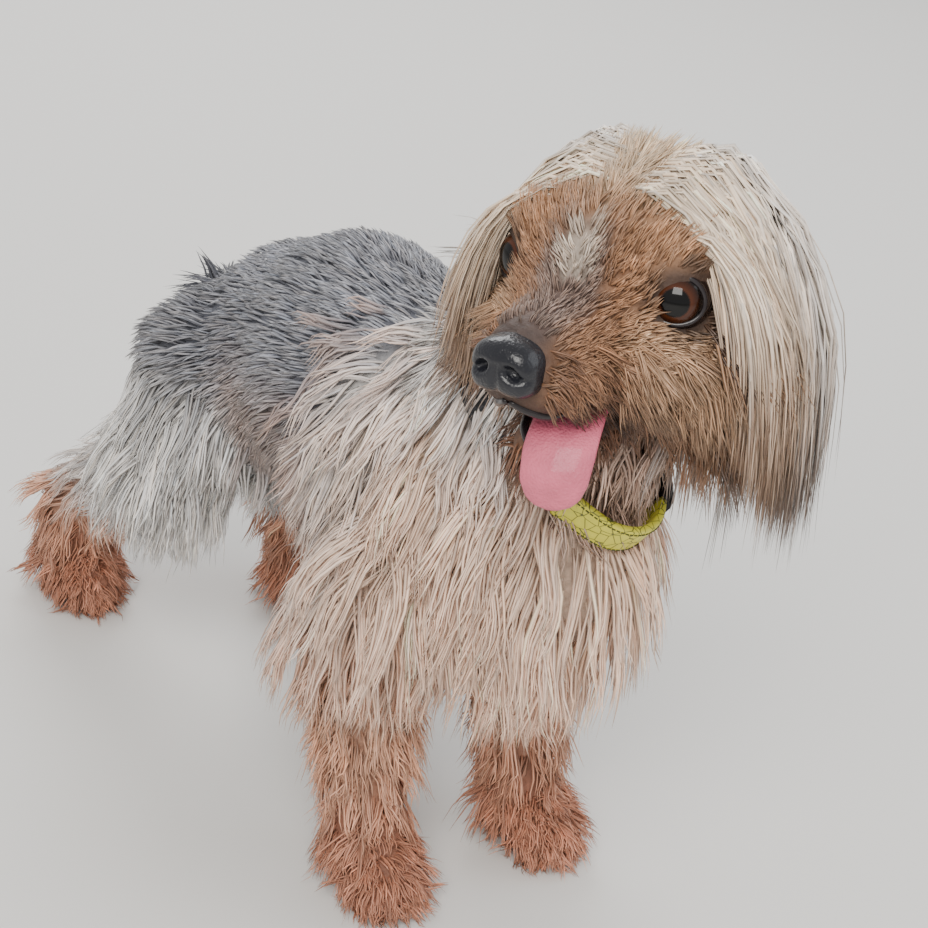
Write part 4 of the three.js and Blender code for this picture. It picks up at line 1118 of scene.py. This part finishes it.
def curve_points(knots, count):
    """Points at even parameter along a smooth line through the knots."""
    knots = np.array(knots, float)
    ends = np.vstack([2 * knots[0] - knots[1], knots, 2 * knots[-1] - knots[-2]])
    spans = len(knots) - 1
    at = np.linspace(0, spans, count)
    i = np.minimum(at.astype(int), spans - 1)
    t = (at - i)[:, None]
    a, b, c, d = ends[i], ends[i + 1], ends[i + 2], ends[i + 3]
    return 0.5 * (2 * b + (c - a) * t + (2 * a - 5 * b + 4 * c - d) * t ** 2 + (3 * b - a - 3 * c + d) * t ** 3)


def loft(name, rings, closed=False):
    """Rings of points, all of one count, joined into a closed skin."""
    rows, sides = rings.shape[:2]
    faces = []
    for r in range(rows if closed else rows - 1):
        for s in range(sides):
            a, b = r * sides + s, r * sides + (s + 1) % sides
            c, d = (a + sides) % (rows * sides), (b + sides) % (rows * sides)
            faces.append((a, b, d, c))
    if not closed:
        faces.append(tuple(range(sides))[::-1])
        faces.append(tuple((rows - 1) * sides + s for s in range(sides)))
    mesh = bpy.data.meshes.new(name)
    mesh.from_pydata(to_frame(rings.reshape(-1, 3)), [], faces)
    shape = bmesh.new()
    shape.from_mesh(mesh)
    bmesh.ops.recalc_face_normals(shape, faces=shape.faces)
    shape.to_mesh(mesh)
    shape.free()
    mesh.shade_smooth()
    return new_piece(name, mesh)


def own_uv(piece, across, down):
    """A plain unwrap of a piece from two numbers that each point has."""
    mesh = piece.data
    corner = np.zeros(len(mesh.loops), int)
    mesh.loops.foreach_get("vertex_index", corner)
    layer = mesh.uv_layers.new(name="OFBake")
    layer.data.foreach_set("uv", np.stack([across, down], 1)[corner].ravel())


# %% Ears
EAR = dict(width=24, thick=2.4, cup=4)
EAR_HAIR = {"left": (1, 0.2, 84, 46, 6), "right": (-1, -0.1, 62, 40, 4)}
for part, (s, back, longest, shortest, lift) in EAR_HAIR.items():
    knots = ((26, 12, 15), (34, 13, 12), (39, 14, 2), (40, 15, -12))
    line = curve_points([on_head(s * a, b, c) for a, b, c in knots], 22)
    ahead = unit(np.gradient(line, axis=0))
    behind = along_head(0, 1, 0)
    out = unit(np.cross(behind, ahead)) * s
    t = np.linspace(0, 1, len(line))
    share = np.interp(t, [0, 0.22, 0.44, 0.66, 0.86, 1], [0.3, 0.6, 0.9, 0.78, 0.45, 0.06])
    turns = np.linspace(0, 2 * math.pi, 16, endpoint=False)
    rings = []
    for p, f, o in zip(line, share, out):
        x_share = np.cos(turns)[:, None]
        depth = -EAR["cup"] * x_share ** 2 * f + np.sin(turns)[:, None] * (EAR["thick"] / 2) * min(1, 2 * f)
        rings.append(p + behind * x_share * EAR["width"] / 2 * f + o * depth)
    ear = loft(f"ear_{part}_flap", np.array(rings))
    points = mesh_points(ear.data) * 1000 - SHIFT
    down_ear = np.repeat(t, len(turns))[:, None]
    paint(ear.data, mix(GOLD * 0.75, mix(BROWN, DARK, 0.5), down_ear))
    finish(ear, SKIN, "ear", f"ear_{part}")
    rng = np.random.default_rng(140 + s)
    count = 140
    along = rng.uniform(0.25, 0.98, count)
    row = np.clip((along * 21).astype(int), 0, 21)
    wide = rng.uniform(-1, 1, count)
    roots = line[row] + behind * (wide * EAR["width"] / 2 * share[row])[:, None]
    roots = roots + out[row] * (0.4 - EAR["cup"] * wide ** 2 * share[row])[:, None]
    uv = np.stack([0.5 + 0.45 * wide, along], 1)

    def ear_tone(points, path):
        every = np.ones((len(points), 1))
        return mix(BROW_TAN, GOLD, 0.5)[None] * every, mix(DARK, BLACK, 0.5)[None] * every

    reach = np.interp(along, [0.2, 1], [longest, shortest]) * rng.uniform(0.85, 1, count)
    coat_piece(
        f"coat_ear_{part}", "ear", SILK, 143 + s, roots, uv,
        jitter(sided(np.full(count, s), 0.05, back + 0.15 * wide, -1), 0.06, rng), ear_tone,
        dict(length=reach, steps=6, lift=rng.uniform(1, lift, count), fall=0.6, rise=0.05),
        dict(per_guide=7, spread=3.4, clump=0.45, wave=0.9, turns=0.8, frizz=1.6),
        1.3,
        tip_from=2.4,
    )

# %% [markdown]
# ## Eyes
# An eye is a ball with a slightly raised cornea. Each point knows its angle from the line of
# sight, and a colour ramp on that angle gives the pupil, the iris and the dark rim. A clear coat
# makes it wet. The lids are a rim lofted round the opening, sunk into the skin at its outer edge.

# %% Eyes


def ramp(tree, source, stops):
    node = add(tree, "ShaderNodeValToRGB")
    elements = node.color_ramp.elements
    while len(elements) < len(stops):
        elements.new(0.5)
    for element, (place, colour) in zip(elements, stops):
        element.position = place
        element.color = (*colour, 1)
    tree.links.new(source, node.inputs["Fac"])
    return node.outputs["Color"]


def eye_material():
    material, tree, principled = new_material("wet eye")
    angle = add(tree, "ShaderNodeAttribute", attribute_name="from_gaze")
    around = add(tree, "ShaderNodeAttribute", attribute_name="round_gaze")
    fibres = add(tree, "ShaderNodeTexNoise", noise_dimensions="1D")
    fibres.inputs["Scale"].default_value = 14.0
    tree.links.new(around.outputs["Fac"], fibres.inputs["W"])
    shifted = math_node(tree, "ADD", angle.outputs["Fac"], math_node(tree, "MULTIPLY", fibres.outputs["Fac"], 0.06))
    iris = linear(70, 36, 20)
    stops = [(0.0, BLACK * 0.2), (0.4, BLACK * 0.2), (0.46, iris), (0.66, iris * 0.4), (0.76, BLACK * 0.4), (1.0, linear(34, 24, 22))]
    tree.links.new(ramp(tree, shifted, stops), principled.inputs["Base Color"])
    principled.inputs["Roughness"].default_value = 0.12
    principled.inputs["Specular IOR Level"].default_value = 0.08
    principled.inputs["Coat Weight"].default_value = 0.45
    principled.inputs["Coat Roughness"].default_value = 0.02
    return material


EYE_WET = eye_material()
LID = dict(half=7.4, above=5.9, below=5.0, reach=6.6)
for part, s in (("left", 1), ("right", -1)):
    centre = on_head(s * EYE["x"], EYE["y"], EYE["z"])
    gaze = unit(along_head(s * 0.42, -0.9, 0.1))
    across = unit(np.cross([0, 0, 1.0], gaze))
    upward = unit(np.cross(gaze, across))
    shape = bmesh.new()
    bmesh.ops.create_uvsphere(shape, u_segments=48, v_segments=32, radius=1.0)
    mesh = bpy.data.meshes.new(f"eye_{part}_ball")
    shape.to_mesh(mesh)
    shape.free()
    ball = mesh_points(mesh)
    angle = np.arccos(np.clip(ball[:, 2], -1, 1))
    swell = 0.45 * (1 - step(angle, 0.35, 0.75))[:, 0]
    place = ball[:, :1] * across + ball[:, 1:2] * upward + ball[:, 2:] * gaze
    mesh.vertices.foreach_set("co", to_frame(centre + place * (EYE["radius"] + swell)[:, None]).ravel())
    for label, value in (("from_gaze", angle), ("round_gaze", np.arctan2(ball[:, 1], ball[:, 0]))):
        mesh.attributes.new(label, "FLOAT", "POINT").data.foreach_set("value", value)
    mesh.update()
    mesh.shade_smooth()
    eye = new_piece(f"eye_{part}_ball", mesh)
    own_uv(eye, 0.5 + ball[:, 0] * angle / math.pi * 0.48, 0.5 + ball[:, 1] * angle / math.pi * 0.48)
    finish(eye, EYE_WET, "eye", f"eye_{part}")

    turns = np.linspace(0, 2 * math.pi, 40, endpoint=False)
    rings = []
    for a in turns:
        open_by = LID["above"] if math.sin(a) > 0 else LID["below"]
        wide = across * math.cos(a) * LID["half"] + upward * math.sin(a) * open_by
        profile = [(0.98, -0.3), (1.0, 0.35), (1.07, 0.65), (1.2, 0.75), (1.45, 0.2), (1.6, -1.6), (1.2, -1.6)]
        rings.append([centre + (EYE["radius"] + rise) * unit(gaze * LID["reach"] + wide * f) for f, rise in profile])
    lid = loft(f"eyelid_{part}", np.array(rings), closed=True)
    count = len(lid.data.vertices)
    own_uv(lid, np.repeat(np.linspace(0, 1, 40), 7)[:count], np.tile(np.linspace(0, 1, 7), 40)[:count])
    finish(lid, LIP_SKIN, "head")

# %% [markdown]
# ## Nose, lips and tongue
# The nose pad is a rounded box with a pebbled, damp surface. Its points are pushed in where the
# nostrils and the groove lie. The lips are dark rims that lie on the skin along the mouth, and
# the tongue is a wide flat loft with a groove down its middle.

# %% Nose
NOSE = dict(y=-60, z=-9, width=19, height=15, depth=7.5)
shape = bmesh.new()
bmesh.ops.create_icosphere(shape, subdivisions=5, radius=1.0)
mesh = bpy.data.meshes.new("nose_pad")
shape.to_mesh(mesh)
shape.free()
way = mesh_points(mesh)
cubed = np.cbrt((np.abs(way) ** 3).sum(1))[:, None]
pad = way / cubed * np.array([NOSE["width"] / 2, NOSE["depth"], NOSE["height"] / 2])
pad[:, 2] -= 0.16 * np.abs(pad[:, 0])
front = step(-pad[:, 1], 0, 4)[:, 0]
hole = np.hypot((np.abs(pad[:, 0]) - 4.5) / 1.25, pad[:, 2] + 0.4 + 0.25 * (np.abs(pad[:, 0]) - 4.5)) / 2.0
slit = np.hypot((np.abs(pad[:, 0]) - 7.0) / 2.2, (pad[:, 2] + 1.8) / 0.9) / 1.1
groove = np.abs(pad[:, 0]) / 0.9 + (pad[:, 2] > 1.5) * 9
inward = 3.0 * np.exp(-(1.2 * hole) ** 3) + 1.1 * np.exp(-slit ** 2) + 0.8 * np.exp(-groove ** 2)
pad[:, 1] += inward * front
nose_points = HEAD_CENTRE + (pad + [0, NOSE["y"], NOSE["z"]]) @ HEAD_TURN.T
mesh.vertices.foreach_set("co", to_frame(nose_points).ravel())
mesh.update()
mesh.shade_smooth()
nose = new_piece("nose_pad", mesh)
own_uv(nose, 0.5 + way[:, 0] * 0.24 + 0.25 * np.sign(way[:, 1]), 0.5 + way[:, 2] * 0.45)
finish(nose, NOSE_LEATHER, "nose", "nose")

# %% Lips
UPPER_LIP = [(14, -16, -26), (13, -34, -26), (8, -52, -25), (0.6, -60, -20)]
LOWER_LIP = [(13, -16, -26), (9, -32, -29), (5, -43, -31), (0.6, -50, -34)]


def jaw_depth(points):
    return bone_depth(points, "jaw", SKIN_COAT)


def head_depth(points):
    return union(points, HEAD + ["neck"], FACE_BLEND, SKIN_COAT)


for label, route, depth, thick in (("upper", UPPER_LIP, head_depth, 1.7), ("lower", LOWER_LIP, jaw_depth, 1.6)):
    for part, s in (("left", 1), ("right", -1)):
        line = curve_points([on_head(s * x, y, z) for x, y, z in route], 30)
        for _ in range(3):
            line = line - depth(line)[:, None] * outward(depth, line)
        up = outward(depth, line)
        side = unit(np.cross(unit(np.gradient(line, axis=0)), up))
        t = np.linspace(0, 1, len(line))
        radius = thick * (0.45 + 0.55 * np.sin(math.pi * np.clip(t * 0.9 + 0.05, 0, 1)))
        turns = np.linspace(0, 2 * math.pi, 12, endpoint=False)[None, :, None]
        rings = line[:, None] + radius[:, None, None] * (np.cos(turns) * side[:, None] + np.sin(turns) * up[:, None])
        lip = loft(f"lip_{label}_{part}", rings)
        own_uv(lip, np.repeat(t, 12), np.tile(np.linspace(0, 1, 12), len(t)))
        finish(lip, LIP_SKIN, "jaw" if label == "lower" else "head")

# %% Tongue
line = curve_points([on_head(*p) for p in ((2, -20, -22), (5, -34, -26), (9, -46, -31), (11, -52, -40), (11.5, -52.5, -49))], 34)
ahead = unit(np.gradient(line, axis=0))
flat = unit(np.cross(along_head(1, 0.45, 0.1), ahead))
side = unit(np.cross(ahead, flat))
t = np.linspace(0, 1, len(line))
half = 9 * np.interp(t, [0, 0.2, 0.4, 0.6, 0.8, 0.92, 0.98, 1], [0.8, 1, 1.06, 1.08, 1.0, 0.8, 0.5, 0.2])
turns = np.linspace(0, 2 * math.pi, 28, endpoint=False)
rings = []
for p, w, f, e in zip(line, half, flat, side):
    across_share = np.cos(turns)[:, None]
    thick = 1.6 * min(1, w / 5) * np.sign(np.sin(turns))[:, None] * np.abs(np.sin(turns))[:, None] ** 0.7
    dent = 0.75 * np.exp(-(across_share / 0.16) ** 2) * (np.sin(turns) > 0)[:, None]
    curl = 1.2 * across_share ** 2
    rings.append(p + e * across_share * w + f * (thick - dent + curl * w / 9 - 0.6))
tongue = loft("tongue_body", np.array(rings))
own_uv(tongue, np.tile(np.linspace(0, 1, 28), 34), np.repeat(t, 28))
finish(tongue, TONGUE_SKIN, "tongue", "tongue")

# %% [markdown]
# ## The collar
# A webbing band goes round the neck. It has a moulded side-release buckle and a bright front
# panel with fine dark branching lines, which a cell texture's edges give. Each ring of the loft
# stands where a ray from the neck's middle leaves the coat, so that the band never cuts in.

# %% Collar
COLLAR = dict(width=10.0, thick=2.2, share=0.45, clear=1.4)
BUCKLE = dict(at=0.62, half=0.19, thick=5.0)
PANEL_FROM = -0.5
COLLAR_AXIS = unit(np.array([0.2, -0.56, 0.8]))
NECK_A, NECK_B = BONES["neck"][0], BONES["neck"][2]
COLLAR_CENTRE = NECK_A + (NECK_B - NECK_A) * COLLAR["share"]
ACROSS = unit(np.array([1, 0, 0]) - COLLAR_AXIS * COLLAR_AXIS[0])
THROAT = unit(np.cross(ACROSS, COLLAR_AXIS))


def body_coat(points):
    return union(points, BODY, BODY_BLEND, 1.0)


def collar_line(angles):
    way = np.cos(angles)[:, None] * THROAT + np.sin(angles)[:, None] * ACROSS
    reach = np.zeros(len(angles))
    for share in (-0.5, 0, 0.5):
        p = np.tile(COLLAR_CENTRE + COLLAR_AXIS * share * COLLAR["width"], (len(angles), 1))
        start = p.copy()
        for _ in range(60):
            p = p + way * np.maximum(-0.7 * body_coat(p), 0)[:, None]
        reach = np.maximum(reach, np.linalg.norm(p - start, axis=1))
    return COLLAR_CENTRE + way * (reach + COLLAR["clear"])[:, None], way


def band(name, start, end, width, thick, steps, waist=None, corner=0.32):
    angles = np.linspace(start, end, steps)
    line, way = collar_line(angles)
    turns = np.linspace(0, 2 * math.pi, 20, endpoint=False)
    c, s = np.cos(turns), np.sin(turns)
    box_across = np.sign(c) * np.abs(c) ** corner
    box_out = np.sign(s) * np.abs(s) ** corner
    t = np.linspace(0, 1, steps)
    wide = width / 2 * (np.ones(steps) if waist is None else waist(t))
    middle = line + way * thick / 2
    rings = middle[:, None] + COLLAR_AXIS * (box_across[None, :, None] * wide[:, None, None])
    rings = rings + way[:, None] * box_out[None, :, None] * thick / 2
    piece = loft(name, rings)
    own_uv(piece, np.repeat(t, 20), np.tile(np.linspace(0, 1, 20), steps))
    return piece


def webbing_material():
    material, tree, principled = new_material("black webbing")
    place = add(tree, "ShaderNodeUVMap", uv_map="OFBake")
    spread = add(tree, "ShaderNodeMapping")
    spread.inputs["Scale"].default_value = (150.0, 26.0, 1.0)
    tree.links.new(place.outputs["UV"], spread.inputs["Vector"])
    weave = add(tree, "ShaderNodeTexChecker")
    weave.inputs["Scale"].default_value = 1.0
    weave.inputs["Color1"].default_value = (0.012, 0.012, 0.014, 1)
    weave.inputs["Color2"].default_value = (0.035, 0.035, 0.04, 1)
    tree.links.new(spread.outputs["Vector"], weave.inputs["Vector"])
    tree.links.new(weave.outputs["Color"], principled.inputs["Base Color"])
    principled.inputs["Roughness"].default_value = 0.75
    bump(tree, weave.outputs["Fac"], principled, 0.8, 0.0004)
    return material


def panel_material():
    material, tree, principled = new_material("bright band")
    place = add(tree, "ShaderNodeTexCoord")
    grain = use_group(tree, FINE_GRAIN, Scale=2200.0, Amount=0.5, Roughness=0.5)
    tree.links.new(place.outputs["Object"], grain.inputs["Vector"])
    cells = add(tree, "ShaderNodeTexVoronoi", feature="DISTANCE_TO_EDGE")
    cells.inputs["Scale"].default_value = 300.0
    tree.links.new(place.outputs["Object"], cells.inputs["Vector"])
    stops = [(0.0, linear(40, 44, 26)), (0.018, linear(70, 74, 34)), (0.045, linear(206, 200, 62)), (1.0, linear(224, 218, 84))]
    veins = ramp(tree, cells.outputs["Distance"], stops)
    wear = add(tree, "ShaderNodeMix", data_type="RGBA")
    wear.inputs["B"].default_value = (*linear(160, 158, 60), 1)
    tree.links.new(math_node(tree, "MULTIPLY", grain.outputs["Mask"], 0.3), wear.inputs["Factor"])
    tree.links.new(veins, wear.inputs["A"])
    tree.links.new(wear.outputs["Result"], principled.inputs["Base Color"])
    tree.links.new(grain.outputs["Roughness"], principled.inputs["Roughness"])
    bump(tree, grain.outputs["Height"], principled, 0.3, 0.0003)
    return material


JOIN = 0.01
strap = band("collar_webbing", BUCKLE["at"] + BUCKLE["half"] + JOIN, 2 * math.pi + PANEL_FROM - JOIN, COLLAR["width"], COLLAR["thick"], 90)
finish(strap, webbing_material(), "collar_strap", "collar_strap")
panel = band("collar_band", PANEL_FROM, BUCKLE["at"] - BUCKLE["half"] - JOIN, COLLAR["width"] + 1, COLLAR["thick"] + 0.6, 36)
finish(panel, panel_material(), "collar_panel", "collar_panel")


def buckle_waist(t):
    notch = np.exp(-((t - 0.58) / 0.09) ** 2)
    return 1 - 0.28 * notch - 0.1 * (t < 0.04) - 0.1 * (t > 0.96)


buckle = band("collar_clasp", BUCKLE["at"] - BUCKLE["half"], BUCKLE["at"] + BUCKLE["half"], COLLAR["width"] + 3, BUCKLE["thick"], 48, buckle_waist, 0.4)
finish(buckle, BUCKLE_PLASTIC, "collar_buckle", "collar_buckle")

# %% [markdown]
# ### Stitches
# Two rows of stitches hold the bright panel on the band. Geometry Nodes set one small stitch at
# each point of a line, turned along it, and make the result real, because the export drops
# instances.

# %% Stitches by Geometry Nodes
THREAD = leather_material("thread", linear(70, 72, 40), 3000.0, 0.3, 0.7, 0.2)


def stitch_tree():
    tree = bpy.data.node_groups.new("Stitch row", "GeometryNodeTree")
    tree.interface.new_socket("Geometry", in_out="INPUT", socket_type="NodeSocketGeometry")
    for label, value in (("Pitch", 0.0016), ("Radius", 0.00022), ("Length", 0.0011)):
        tree.interface.new_socket(label, in_out="INPUT", socket_type="NodeSocketFloat").default_value = value
    tree.interface.new_socket("Material", in_out="INPUT", socket_type="NodeSocketMaterial")
    tree.interface.new_socket("Geometry", in_out="OUTPUT", socket_type="NodeSocketGeometry")
    inside, out = tree.nodes.new("NodeGroupInput"), tree.nodes.new("NodeGroupOutput")
    link = tree.links.new
    line = add(tree, "GeometryNodeMeshToCurve")
    even = add(tree, "GeometryNodeResampleCurve", mode="LENGTH")
    tangent = add(tree, "GeometryNodeInputTangent")
    aim = add(tree, "FunctionNodeAlignEulerToVector", axis="Z")
    stitch = add(tree, "GeometryNodeMeshCylinder")
    stitch.inputs["Vertices"].default_value = 6
    scatter = add(tree, "GeometryNodeInstanceOnPoints")
    real = add(tree, "GeometryNodeRealizeInstances")
    coat = add(tree, "GeometryNodeSetMaterial")
    link(inside.outputs["Geometry"], line.inputs["Mesh"])
    link(line.outputs["Curve"], even.inputs["Curve"])
    link(inside.outputs["Pitch"], even.inputs["Length"])
    link(tangent.outputs["Tangent"], aim.inputs["Vector"])
    link(inside.outputs["Radius"], stitch.inputs["Radius"])
    link(inside.outputs["Length"], stitch.inputs["Depth"])
    link(even.outputs["Curve"], scatter.inputs["Points"])
    link(stitch.outputs["Mesh"], scatter.inputs["Instance"])
    link(aim.outputs["Rotation"], scatter.inputs["Rotation"])
    link(scatter.outputs["Instances"], real.inputs["Geometry"])
    link(real.outputs["Geometry"], coat.inputs["Geometry"])
    link(inside.outputs["Material"], coat.inputs["Material"])
    link(coat.outputs["Geometry"], out.inputs["Geometry"])
    return tree


def stitch_rows(name, start, end, width, stand):
    angles = np.linspace(start, end, 40)
    line, way = collar_line(angles)
    points, edges = [], []
    for edge in (-1, 1):
        base = len(points)
        points += list(line + way * stand + COLLAR_AXIS * edge * (width / 2 - 1.1))
        edges += [(base + i, base + i + 1) for i in range(len(angles) - 1)]
    mesh = bpy.data.meshes.new(name)
    mesh.from_pydata(to_frame(np.array(points)), edges, [])
    rough = new_piece(name + "_line", mesh)
    rows = rough.modifiers.new("stitches", "NODES")
    rows.node_group = stitch_tree()
    for item in rows.node_group.interface.items_tree:
        if item.name == "Material":
            rows[item.identifier] = THREAD
    made = new_piece(name, evaluated(rough))
    bpy.data.objects.remove(rough)
    return made


stitches = stitch_rows("collar_stitches", PANEL_FROM + 0.04, BUCKLE["at"] - BUCKLE["half"] - 0.05, COLLAR["width"] + 1, COLLAR["thick"] + 0.65)
finish(stitches, THREAD, "collar_panel")

# %% [markdown]
# ## Floor, light and camera
# The model stands on a plain pale floor in soft light from three large lamps. The camera was
# fitted to the feet, eyes and nose in the picture, so its place, tilt and small roll are its own.

# %% Stage
floor_mesh = bpy.data.meshes.new("floor")
HALF = 6.0
floor_mesh.from_pydata([(-HALF, -HALF, 0), (HALF, -HALF, 0), (HALF, HALF, 0), (-HALF, HALF, 0)], [], [(0, 1, 2, 3)])
floor = new_piece("floor", floor_mesh)
pale, tree, principled = new_material("pale floor")
principled.inputs["Base Color"].default_value = (0.72, 0.71, 0.69, 1)
principled.inputs["Roughness"].default_value = 0.85
floor.data.materials.append(pale)

world = bpy.data.worlds.new("studio")
bpy.context.scene.world = world
world.use_nodes = True
world.node_tree.nodes["Background"].inputs["Color"].default_value = (1.0, 0.99, 0.98, 1)
world.node_tree.nodes["Background"].inputs["Strength"].default_value = 0.8
TARGET = Vector((0, -0.05, 0.15))


def area_light(name, place, size, power, colour):
    lamp = bpy.data.lights.new(name, "AREA")
    lamp.size = size
    lamp.energy = power
    lamp.color = colour
    piece = bpy.data.objects.new(name, lamp)
    piece.location = place
    piece.rotation_euler = (TARGET - Vector(place)).to_track_quat("-Z", "Y").to_euler()
    bpy.context.scene.collection.objects.link(piece)


area_light("key", (-0.9, -1.0, 1.3), 0.9, 30, (1.0, 0.97, 0.92))
area_light("fill", (1.2, -0.7, 0.8), 1.2, 8, (0.9, 0.95, 1.0))
area_light("rim", (0.5, 1.2, 1.2), 0.9, 16, (1.0, 1.0, 1.0))

# %% Camera
AZIMUTH, PITCH, ROLL = [math.radians(a) for a in (-36.3, 27.2, 5.9)]
CAMERA_PLACE = np.array([-337.7, -445.6, 442.4])
FOCAL = 2000
FRAME_WIDTH = 928
ahead = Vector((-math.sin(AZIMUTH) * math.cos(PITCH), math.cos(AZIMUTH) * math.cos(PITCH), -math.sin(PITCH)))
level = Vector((math.cos(AZIMUTH), math.sin(AZIMUTH), 0))
upright = level.cross(ahead)
right = level * math.cos(ROLL) + upright * math.sin(ROLL)
above = -level * math.sin(ROLL) + upright * math.cos(ROLL)
lens = bpy.data.cameras.new("camera")
lens.sensor_width = 36
lens.lens = 36 * FOCAL / FRAME_WIDTH
camera = bpy.data.objects.new("camera", lens)
camera.matrix_world = Matrix.Translation(to_frame(CAMERA_PLACE)) @ Matrix((right, above, -ahead)).transposed().to_4x4()
bpy.context.scene.collection.objects.link(camera)
bpy.context.scene.camera = camera
